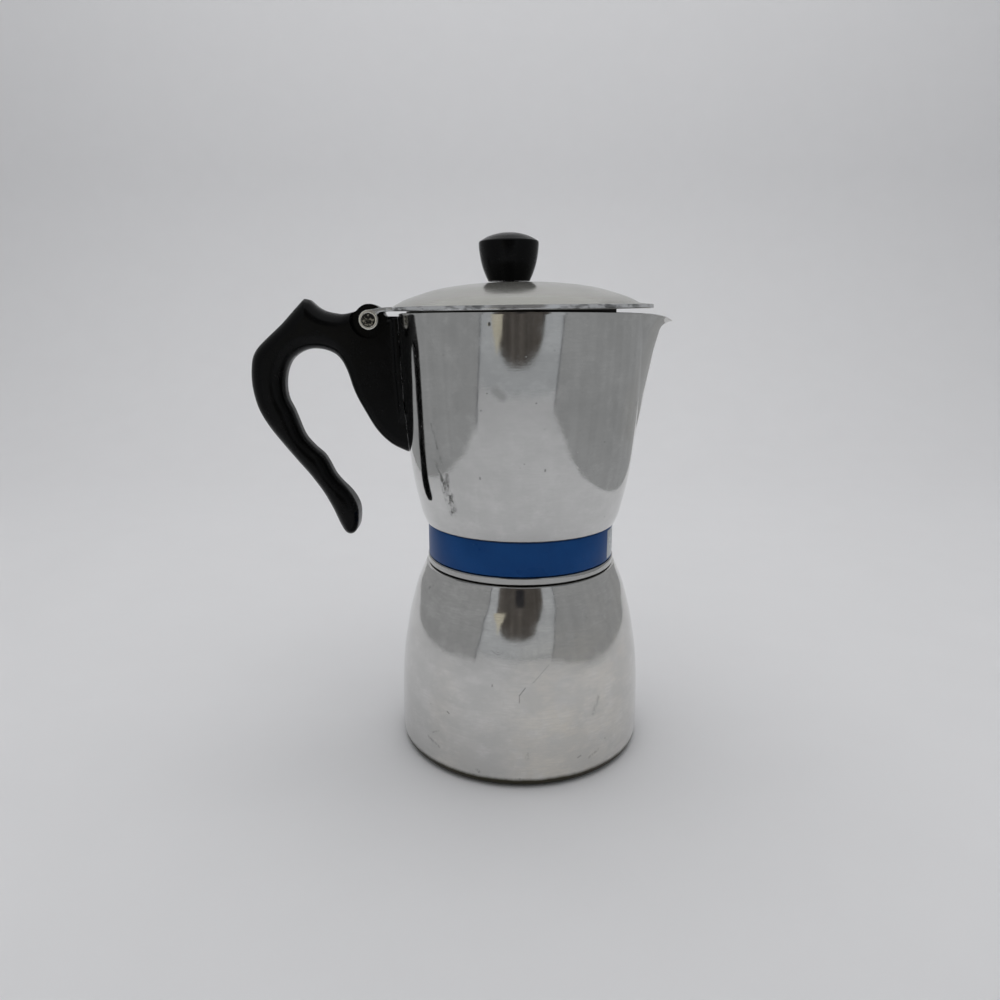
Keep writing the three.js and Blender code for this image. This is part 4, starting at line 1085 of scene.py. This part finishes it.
# ---------- materials ----------
def polished_aluminium(name, tone, haze, mottling, radius, marks, base_shade_top=None):
    """Buffed sheet aluminium: cloudy patina, fine turning lines, pits, scuffs and scratches, with painted
    shade darkening the base's rounded corner.

    A mark is (start angle, start height, end angle, end height, half width, softness, depth, ragged);
    angles are degrees from -Y towards -X.
    """
    s = Shader(name)
    s.set(Metallic=1.0)
    clouds = s.noise(s.scaled(1, 1, 1), 26, 6, 0.62)
    fine_clouds = s.noise(s.scaled(1, 1, 1), 130, 5, 0.65)
    blotches = s.noise(s.scaled(1, 1, 0.7), 11, 3, 0.5)
    lines = s.noise(s.turned(0.6, 60), 34, 5, 0.7)
    streaks = s.noise(s.turned(0.25, 8), 30, 3, 0.5)
    grit = s.noise(s.scaled(1, 1, 0.6), 420, 5, 0.75)
    mottle = s.noise(s.scaled(0.8, 0.8, 1.3), 85, 8, 0.62)
    brushing = s.noise(s.turned(0.15, 26), 60, 4, 0.7)
    pits = s.spots(s.scaled(1, 1, 1), 150, 0.06)
    dark = tuple(c * 0.86 for c in tone)
    warm = (tone[0] * 1.03, tone[1] * 0.965, tone[2] * 0.85)
    colour = s.mix(s.range(clouds, 0.38, 0.62, 0, 1), dark, tone)
    colour = s.mix(s.range(blotches, 0.5, 0.72, 0, 0.75), colour, warm)
    colour = s.mix(s.range(fine_clouds, 0.5, 0.7, 0, 0.6), colour, tuple(c * 1.1 for c in tone))
    colour = s.mix(s.range(lines, 0.52, 0.75, 0, 0.5), colour, dark)
    colour = s.mix(s.range(mottle, 0.42, 0.56, mottling, 0), colour, tuple(c * 0.78 for c in tone))
    colour = s.mix(s.range(brushing, 0.42, 0.6, mottling * 0.7, 0), colour, tuple(c * 0.8 for c in tone))
    colour = s.mix(s.math("MULTIPLY", pits, 0.7), colour, (0.14, 0.13, 0.11))
    collar = s.math("MULTIPLY", s.range(s.height(), 79.8, 80.1, 0.55, 0), s.range(s.height(), 76, 76.2, 0, 1))
    colour = s.mix(collar, colour, (0.3, 0.3, 0.29))
    rough = s.range(clouds, 0.3, 0.75, haze + 0.04, haze - 0.02)
    rough = s.math("ADD", rough, s.range(streaks, 0.3, 0.7, -0.02, 0.02))
    rough = s.math("ADD", rough, s.range(fine_clouds, 0.45, 0.8, 0, 0.06))
    place = s.unrolled(radius)
    ragged_edge = s.range(grit, 0.44, 0.6, 0.06, 1)
    dents = pits
    for from_angle, low, to_angle, high, width, soft, depth, ragged in marks:
        start = (math.radians(from_angle) * radius, low)
        end = (math.radians(to_angle) * radius, high)
        mark = s.stroke(place, start, end, width, soft)
        if ragged:
            mark = s.math("MULTIPLY", mark, ragged_edge)
        mark = s.math("MULTIPLY", mark, depth)
        dents = s.math("MAXIMUM", dents, mark)
        colour = s.mix(mark, colour, (0.09, 0.09, 0.085))
    rough = s.math("ADD", rough, s.math("MULTIPLY", dents, 0.25))
    # Painted shade: the base's rounded corner, below the given height, is darkened brownish to stand for its
    # reflection of the dark contact shadow under the pot.
    if base_shade_top is not None:
        edge = s.math("ADD", s.height(), s.range(fine_clouds, 0.3, 0.7, -0.2, 0.25))
        base_shade = s.range(edge, base_shade_top, base_shade_top - 1.6, 0, 1)
        colour = s.mix(base_shade, colour, (0.055, 0.05, 0.033))
        rough = s.math("ADD", rough, s.math("MULTIPLY", base_shade, 0.35))
    inside = s.inside()
    stained = s.mix(s.range(mottle, 0.35, 0.6, 0, 1), (0.36, 0.33, 0.27), (0.5, 0.48, 0.43))
    colour = s.mix(inside, colour, stained)
    rough = s.math("ADD", rough, s.math("MULTIPLY", inside, 0.36))
    bump = s.bump(lines, 0.05, 0.0001)
    bump = s.bump(s.math("MULTIPLY", dents, -1), 0.3, 0.0001, bump)
    bump = s.bump(clouds, 0.04, 0.001, bump)
    return s.finish(colour, rough, bump)


def satin_aluminium(name, tone, rough_base=0.36):
    s = Shader(name)
    s.set(Metallic=1.0)
    clouds = s.noise(s.scaled(1, 1, 1), 40, 6, 0.6)
    lines = s.noise(s.turned(0.8, 40), 60, 5, 0.75)
    grain = s.noise(s.scaled(1, 1, 1), 900, 3, 0.6)
    pits = s.spots(s.scaled(1, 1, 1), 260, 0.08)
    dark = tuple(c * 0.88 for c in tone)
    colour = s.mix(s.range(clouds, 0.35, 0.7, 0, 1), dark, tone)
    colour = s.mix(s.range(lines, 0.5, 0.75, 0, 0.3), colour, dark)
    colour = s.mix(s.math("MULTIPLY", pits, 0.5), colour, (0.18, 0.17, 0.15))
    rough = s.range(clouds, 0.3, 0.7, rough_base + 0.06, rough_base - 0.04)
    rough = s.math("ADD", rough, s.range(grain, 0.4, 0.7, -0.02, 0.03))
    bump = s.bump(lines, 0.12, 0.0001)
    bump = s.bump(grain, 0.08, 0.00008, bump)
    return s, colour, rough, bump


def plain_satin(name, tone, rough_base):
    s, colour, rough, bump = satin_aluminium(name, tone, rough_base)
    return s.finish(colour, rough, bump)


def lid_satin():
    """The lid's metal: its rim is scuffed darker, and the skirt under it is painted near-black as shade in
    the gap under the rim.
    """
    s, colour, rough, bump = satin_aluminium("lid_satin", (0.475, 0.47, 0.435), 0.17)
    s.set(Metallic=0.75)
    x, y, _ = s.axes()
    rise = s.math("MULTIPLY", s.math("ADD", s.math("DIVIDE", x, MM), -HINGE[0]), math.tan(LID_TILT))
    lean = s.math("MULTIPLY", s.math("DIVIDE", y, MM), math.tan(LID_SAG))
    level = s.math("SUBTRACT", s.math("SUBTRACT", s.height(), rise), lean)
    out_x = s.math("ADD", s.math("DIVIDE", x, MM), -LID_CENTRE)
    spread = s.math("SQRT", s.math("ADD", s.math("POWER", out_x, 2.0),
                                   s.math("POWER", s.math("DIVIDE", y, MM), 2.0)))
    on_rim = s.math("MULTIPLY", s.range(spread, LID_RADIUS - 0.7, LID_RADIUS - 0.3, 0, 1),
                    s.range(level, LID_BOTTOM + LID_SHEET - 0.25, LID_BOTTOM + LID_SHEET - 0.05, 1, 0))
    wear = s.noise(s.turned(0.12, 6), 60, 3, 0.6)
    colour = s.mix(on_rim, colour, (0.72, 0.73, 0.74))
    rim_dark = s.math("MULTIPLY", on_rim, s.range(wear, 0.38, 0.5, 0.85, 0.05))
    colour = s.mix(rim_dark, colour, (0.13, 0.13, 0.13))
    away_x = s.math("SUBTRACT", s.math("DIVIDE", x, MM), HINGE[0])
    away_z = s.math("SUBTRACT", s.height(), HINGE[2])
    away = s.math("SQRT", s.math("ADD", s.math("POWER", away_x, 2.0), s.math("POWER", away_z, 2.0)))
    on_knuckle = s.range(away, KNUCKLE_RADIUS - 0.1, KNUCKLE_RADIUS + 0.5, 0.8, 0)
    colour = s.mix(on_knuckle, colour, (0.85, 0.83, 0.76))
    # Painted shade: the skirt under the rim is painted near-black, so the gap between the lid and the vessel
    # reads as shadow.
    under = s.range(level, LID_BOTTOM - 0.1, LID_BOTTOM - 0.25, 0, 1)
    ring = s.math("MULTIPLY", s.range(spread, 43, 43.5, 0, 1), s.range(spread, 50.3, 50.6, 1, 0))
    skirt = s.math("MULTIPLY", under, ring)
    colour = s.mix(skirt, colour, (0.01, 0.009, 0.008))
    rough = s.math("ADD", rough, s.math("MULTIPLY", skirt, 0.3))
    return s.finish(colour, rough, bump)


def band_enamel():
    s = Shader("blue_band_enamel")
    s.set(Specular_IOR_Level=0.12)
    x, y, _ = s.axes()
    angle = s.math("ARCTAN2", y, x)
    height = s.height()
    clouds = s.noise(s.scaled(1, 1, 1), 60, 4, 0.5)
    blue = s.mix(s.range(clouds, 0.3, 0.7, 0, 1), (0.003, 0.05, 0.19), (0.006, 0.068, 0.24))
    low = s.range(height, 80.3, 80.5, 0, 1)
    high = s.range(height, 92.4, 92.6, 1, 0)
    start = s.range(angle, math.radians(-26.6), math.radians(-26.2), 0, 1)
    end = s.range(angle, math.radians(-6.2), math.radians(-5.8), 1, 0)
    patch = s.math("MULTIPLY", s.math("MULTIPLY", low, high), s.math("MULTIPLY", start, end))
    colour = s.mix(patch, blue, (0.42, 0.45, 0.47))
    specks = s.spots(s.scaled(1, 1, 1), 300, 0.07)
    colour = s.mix(s.math("MULTIPLY", specks, 0.5), colour, (0.2, 0.24, 0.3))
    s.link(s.math("MULTIPLY", patch, 0.85), s.surface.inputs["Metallic"])
    rough = s.range(clouds, 0.3, 0.7, 0.26, 0.38)
    scratches = s.noise(s.turned(0.7, 30), 60, 5, 0.7)
    return s.finish(colour, rough, s.bump(scratches, 0.05, 0.0001))


def bakelite():
    s = Shader("black_bakelite_moulding")
    s.set(Specular_IOR_Level=0.13)
    clouds = s.noise(s.scaled(1, 1, 1), 50, 5, 0.6)
    grain = s.noise(s.scaled(1, 1, 1), 1400, 3, 0.5)
    scuffs = s.noise(s.scaled(1, 0.3, 1), 220, 6, 0.7)
    dust = s.spots(s.scaled(1, 1, 1), 420, 0.05)
    colour = s.mix(s.range(clouds, 0.3, 0.7, 0, 1), (0.0012, 0.0013, 0.0014), (0.0026, 0.0028, 0.003))
    colour = s.mix(s.math("MULTIPLY", dust, 0.35), colour, (0.08, 0.08, 0.085))
    rough = s.range(scuffs, 0.35, 0.75, 0.18, 0.34)
    bump = s.bump(grain, 0.05, 0.0001)
    bump = s.bump(clouds, 0.05, 0.0006, bump)
    return s.finish(colour, rough, bump)


def plain_metal(name, tone, rough_base):
    """Turned brass or steel hardware with fine tool marks and a little tarnish."""
    s = Shader(name)
    s.set(Metallic=1.0)
    clouds = s.noise(s.scaled(1, 1, 1), 240, 5, 0.6)
    marks = s.noise(s.scaled(1, 1, 1), 1320, 3, 0.6)
    colour = s.mix(s.range(clouds, 0.42, 0.75, 0, 0.35), tone, (0.3, 0.26, 0.2))
    rough = s.range(clouds, 0.3, 0.7, rough_base, rough_base + 0.16)
    return s.finish(colour, rough, s.bump(marks, 0.12, 0.00006))


def mottled_steel():
    """The hinge pin: pale metal showing through patches of dark tarnish."""
    s = Shader("tarnished_steel")
    s.set(Metallic=0.6)
    patches = s.noise(s.scaled(1, 1, 1), 520, 4, 0.65)
    colour = s.mix(s.range(patches, 0.5, 0.62, 0, 1), (0.01, 0.009, 0.007), (0.5, 0.47, 0.38))
    rough = s.range(patches, 0.4, 0.6, 0.6, 0.4)
    return s.finish(colour, rough, s.bump(patches, 0.3, 0.0001))


def soft_material(name, dark, light, rough_low, rough_high, grain_scale):
    s = Shader(name)
    clouds = s.noise(s.scaled(1, 1, 1), 120, 5, 0.6)
    grain = s.noise(s.scaled(1, 1, 1), grain_scale, 4, 0.6)
    colour = s.mix(s.range(clouds, 0.3, 0.7, 0, 1), dark, light)
    rough = s.range(grain, 0.3, 0.7, rough_low, rough_high)
    return s.finish(colour, rough, s.bump(grain, 0.15, 0.0001))


def use(obj, material):
    obj.data.materials.clear()
    obj.data.materials.append(material)
    for polygon in obj.data.polygons:
        polygon.material_index = 0


# ---------- dressing the frame ----------
VESSEL_MARKS = [
    (46, 138.5, 41.5, 123.5, 0.1, 0.9, 0.45, True),
    (45.5, 124, 41, 114.5, 0.2, 1.1, 0.85, True),
    (41.5, 116, 38.5, 104.5, 0.6, 2.0, 0.9, True),
    (43, 114, 41, 108, 0.2, 1.2, 0.6, True),
    (39, 119.5, 38, 109, 0.2, 1.2, 0.7, True),
    (37.5, 112, 36.5, 105.5, 0.3, 1.4, 0.6, True),
    (14.5, 176, 14.5, 175.5, 0.25, 0.35, 0.9, False),
    (12, 152.5, 9.5, 150.5, 0.6, 1.8, 0.3, False),
    (-9.5, 123.5, -9.5, 123, 0.15, 0.35, 0.6, False),
    (20.5, 120, 20.5, 119.5, 0.15, 0.4, 0.5, False),
    (-67, 145.5, -67, 144.5, 0.2, 0.4, 0.8, False),
    (-118, 128, -112, 137, 0.06, 0.2, 0.5, False),
    (150, 118, 143, 126, 0.07, 0.25, 0.5, False),
    (118, 160, 125, 148, 0.06, 0.2, 0.45, False),
]
BOILER_MARKS = [
    (1.5, 32.5, 1.5, 35.5, 0.06, 0.35, 0.6, True),
    (1.5, 35.5, -1, 38.5, 0.04, 0.3, 0.5, False),
    (-4.5, 40.5, -11.5, 47, 0.04, 0.3, 0.2, False),
    (14.5, 52.5, 11.5, 51, 0.06, 0.3, 0.25, False),
    (11.5, 51, 9, 52, 0.05, 0.3, 0.2, False),
    (35, 24, 34, 23.5, 0.1, 0.35, 0.6, False),
    (13.5, 39, 13.5, 38.5, 0.1, 0.4, 0.45, False),
    (-2, 11, -2, 9, 0.2, 0.8, 0.7, True),
    (-25, 6.5, -26.5, 7, 0.1, 0.4, 0.4, False),
    (20, 2, 19, 1.5, 0.3, 0.6, 0.7, True),
    (40, 14, 44, 12, 0.12, 0.4, 0.5, True),
    (47, 9, 40, 7, 0.1, 0.8, 0.5, True),
    (-40.5, 10.5, -40.5, 9.5, 0.1, 0.5, 0.5, True),
    (-36, 7, -31, 5, 0.1, 0.8, 0.45, True),
    (-33, 24, -36, 30, 0.1, 1.2, 0.35, True),
    (58, 70.5, 62, 67.5, 0.4, 1.0, 0.4, True),
    (-140, 22, -131, 31, 0.08, 0.25, 0.45, False),
    (132, 40, 139, 33, 0.08, 0.25, 0.4, False),
    (98, 12, 104, 15, 0.1, 0.3, 0.5, False),
]


def dress():
    # The boiler's metal paints shade on its base corner, below height 0.6.
    boiler_metal = polished_aluminium("boiler_polish", (0.7, 0.695, 0.68), 0.08, 0.55, BASE_RADIUS,
                                      BOILER_MARKS, base_shade_top=0.6)
    vessel_metal = polished_aluminium("vessel_polish", (0.66, 0.66, 0.65), 0.06, 0.25, 47, VESSEL_MARKS)
    inner_metal = plain_satin("inner_satin", (0.58, 0.57, 0.54), 0.42)
    enamel = band_enamel()
    black = bakelite()
    brass = plain_metal("valve_brass", (0.68, 0.46, 0.18), 0.26)
    steel = plain_metal("steel_hardware", (0.5, 0.5, 0.51), 0.28)
    dark_steel = mottled_steel()
    fibre = soft_material("red_fibre", (0.2, 0.05, 0.03), (0.3, 0.08, 0.05), 0.6, 0.85, 1500)
    rubber = soft_material("cream_rubber", (0.56, 0.53, 0.45), (0.68, 0.66, 0.58), 0.5, 0.7, 1100)

    washer = to_valve(revolved("safety_valve_washer", washer_profile(4.3, 7, 0.3, 1.3), 64))
    cap = to_valve(revolved("safety_valve_cap", washer_profile(1.3, 2.6, 7.5, 8.6), 48))
    strainer = holed_disc("funnel_strainer", sieve_high[0], sieve_low[2], sieve_high[2], 6, 0.55)
    filter_strainer = holed_disc("filter_strainer", plate_high[0], plate_low[2], plate_high[2], 7, 0.5)
    hinge = (HINGE[0], 0, HINGE[2])
    detailed = [
        (boiler(), "boiler", "boiler_vessel", boiler_metal),
        (valve_body(), "boiler", "valve_body", brass),
        (washer, "boiler", "valve_washer", fibre),
        (valve_nut(), "boiler", "valve_nut", brass),
        (cap, "boiler", "valve_cap", brass),
        (valve_spring(), "boiler", "valve_spring", steel),
        (valve_pin(), "valve_poppet", "valve_pin", steel),
        (funnel(), "funnel", "funnel_body", inner_metal),
        (strainer, "funnel", "funnel_sieve", inner_metal),
        (gasket(), "filter", "gasket", rubber),
        (filter_strainer, "filter", "filter_plate", inner_metal),
        (vessel(), "upper", "upper_vessel", vessel_metal),
        (column(), "upper", "coffee_column", inner_metal),
        (band(), "upper", "blue_band", enamel),
        (handle(), "upper", "handle", black),
        (rod("hinge_axle", PIN_RADIUS, -7.6, 7.6, "y", hinge, 48, 0.25), "upper", "hinge_pin", dark_steel),
        (lid(), "lid", "lid", lid_satin()),
        (knob(), "lid", "lid_knob", black),
    ]
    for which, z in HANDLE_SCREW_HEIGHTS.items():
        head = shift(screw(f"pan_screw_{which}", 11.5), 0, 0, 1.8)
        plate = revolved(f"backing_washer_{which}", washer_profile(2.3, 4.4, 0.7, 1.5), 64)
        low = -VESSEL_WALL_THICKNESS - 0.9 - 8
        insert = threaded_insert(f"grip_insert_{which}", low, low + 8)
        detailed += [
            (to_handle_stack(head, z), "upper", f"handle_screw_{which}", steel),
            (to_handle_stack(plate, z), "upper", f"handle_washer_{which}", steel),
            (to_handle_stack(insert, z), "upper", f"handle_insert_{which}", brass),
        ]
    base = LID_DOME[0][1] + GAP
    under = base - LID_SHEET - 2 * GAP - 0.1
    knob_screw = screw("knob_pan_screw", 10.5)
    move(knob_screw, Matrix.Rotation(math.pi, 4, "X"))
    knob_washer = revolved("knob_backing_washer", washer_profile(2.3, 5, under - 0.8, under), 64)
    knob_insert = threaded_insert("knob_insert_knurled", 0.6, 9.6)
    detailed += [
        (to_lid(shift(knob_screw, KNOB_X, 0, under - 0.8 - GAP)), "lid", "knob_screw", steel),
        (to_lid(shift(knob_washer, KNOB_X, 0, 0)), "lid", "knob_washer", steel),
        (to_lid(shift(knob_insert, KNOB_X, 0, base)), "lid", "knob_insert", brass),
    ]
    for obj, body, node, material in detailed:
        shift(obj, *LIFT)
        use(obj, material)
        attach(obj, body)
        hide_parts(node)
        if node == "valve_spring":
            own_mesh(obj)


# ---------- stage, light and camera ----------
def paper_material():
    s = Shader("pale_paper")
    paper = s.noise(s.scaled(1, 1, 1), 30, 3, 0.5)
    shade = s.mix(s.range(paper, 0.3, 0.7, 0, 1), (0.725, 0.725, 0.735), (0.735, 0.735, 0.745))
    return s.finish(shade, s.range(paper, 0.3, 0.7, 0.7, 0.8))


def sweep():
    """The pale floor that curves up into a backdrop."""
    side = 6000
    back = 520
    bend = 420
    line = [(-1500, 0), (back, 0)]
    bends = np.linspace(0.06, math.pi / 2, 24)
    line += [(back + bend * math.sin(a), bend * (1 - math.cos(a))) for a in bends]
    line.append((back + bend, 1900))
    rings = [[(x, y, z) for x in (-side, side)] for y, z in line]
    vertices = [p for ring in rings for p in ring]
    faces = [(2 * i, 2 * i + 1, 2 * i + 3, 2 * i + 2) for i in range(len(rings) - 1)]
    obj = mesh_object("floor_sweep", vertices, faces, 60)
    use(obj, paper_material())
    obj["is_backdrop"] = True


def reflector(name, outline, tone, stripes=0.0):
    """A flat sheet that only the polished metal sees, glowing softly with one tone."""
    obj = mesh_object(name, outline, [tuple(range(len(outline)))], 60)
    s = Shader(name + "_glow")
    s.set(Base_Color=(0, 0, 0, 1), Roughness=1.0, Specular_IOR_Level=0.0, Emission_Strength=1.0)
    folds = s.noise(s.scaled(1, 1, 0.06), 22, 3, 0.6)
    shade = s.mix(s.range(folds, 0.4, 0.62, 0, 1), tuple(c * (1 - stripes) for c in tone),
                  tuple(c * (1 + stripes) for c in tone))
    s.link(shade, s.surface.inputs["Emission Color"])
    use(obj, s.material)
    obj.visible_camera = False
    obj.visible_shadow = False
    obj.visible_diffuse = False
    obj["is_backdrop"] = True


def tent():
    """Glowing sheets that only the polished metal sees: they paint the reflections of a white box round the
    pot, open to the front, and of what shows through its opening.
    """
    back, top, edge = 540, 700, 14
    wall = (0.335, 0.34, 0.345)
    room = (0.44, 0.455, 0.47)
    for name, x, low_front, high_front in (("left", -360, -390, -515), ("right", 300, -560, -400)):
        front = [(low_front, 0), (high_front, 220), (high_front, top)]
        sheet = front + [(back, top), (back, 0)]
        reflector(f"{name}_wall", [(x, y, z) for y, z in sheet], wall, 0.04)
        # A dark strip glowing along each wall's front edge: painted shade at the edge, seen only in the
        # metal.
        edge_shade = front + [(y - edge, z) for y, z in reversed(front)]
        reflector(f"{name}_wall_edge_shade", [(x, y, z) for y, z in edge_shade], (0.06, 0.06, 0.07))
    roof = [(-360, -515), (300, -400), (300, back), (-360, back)]
    reflector("roof", [(x, y, top) for x, y in roof], (0.69, 0.7, 0.71), 0.03)
    far, near = -1600, -750
    wide = 1500
    front = [(-wide, far, -50), (wide, far, -50), (wide, far, wide), (-wide, far, wide)]
    reflector("room_front", front, room, 0.04)
    ground = [(-wide, far, 1), (wide, far, 1), (wide, near, 1), (-wide, near, 1)]
    reflector("room_floor", ground, tuple(c * 0.9 for c in room), 0.02)
    # Painted reflection: glowing dark, cream and disc-shaped sheets on the camera side put the photographer's
    # reflection into the metal.
    photographer_outline = smooth_curve([
        (-235, 180), (-185, 128), (-110, 107), (-20, 104), (50, 110), (120, 128), (165, 165),
    ], 4)
    photographer_outline = [(-240, 700), (-235, 320)] + photographer_outline + [(215, 300), (225, 700)]
    reflector("photographer_reflection_dark", [(x, -500, z) for x, z in photographer_outline], (0.085, 0.076, 0.068), 0.3)
    cream = [(-262, 210), (-245, 160), (-205, 122), (-160, 150), (-138, 210)]
    reflector("photographer_reflection_cream", [(x, -496, z) for x, z in cream], (0.5, 0.47, 0.38), 0.05)
    reflector("photographer_reflection_disc", [(x, -492, z) for x, z in circle(-10, 312, 46, 40)], (0.015, 0.015, 0.018))


def area_light(name, position, target, size, energy):
    light = bpy.data.lights.new(name, "AREA")
    light.shape = "RECTANGLE"
    light.size, light.size_y = size
    light.energy = energy
    obj = bpy.data.objects.new(name, light)
    obj.location = Vector(position)
    obj.rotation_euler = (Vector(target) - Vector(position)).to_track_quat("-Z", "Y").to_euler()
    obj.visible_glossy = False
    bpy.context.scene.collection.objects.link(obj)


CAMERA_RIGHT_OF_CENTRE = 0.01614
CAMERA_DISTANCE = 0.3181
CAMERA_HEIGHT = 0.179
CAMERA_PITCH = 12.93
CAMERA_LENS = 27.02
WORLD_STRENGTH = 0.36


def light_and_camera():
    world = bpy.data.worlds.new("studio")
    world.use_nodes = True
    world.node_tree.nodes["Background"].inputs[0].default_value = (0.97, 0.98, 1, 1)
    world.node_tree.nodes["Background"].inputs[1].default_value = WORLD_STRENGTH
    scene = bpy.context.scene
    scene.world = world
    scene.view_settings.view_transform = "Standard"
    area_light("ceiling", (0, -0.1, 1.5), (0, 0, 0), (1.8, 1.8), 10.5)
    area_light("back_wash", (0, 0.2, 1.3), (0, 0.9, 0.3), (1.6, 0.6), 3)
    low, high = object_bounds()
    camera_data = bpy.data.cameras.new("camera")
    camera_data.lens = CAMERA_LENS
    camera_data.sensor_width = 36
    camera = bpy.data.objects.new("camera", camera_data)
    camera.location = ((low[0] + high[0]) / 2 + CAMERA_RIGHT_OF_CENTRE, -CAMERA_DISTANCE, CAMERA_HEIGHT)
    camera.rotation_euler = (math.radians(90 - CAMERA_PITCH), 0, 0)
    scene.collection.objects.link(camera)
    scene.camera = camera


sweep()
tent()
dress()
light_and_camera()
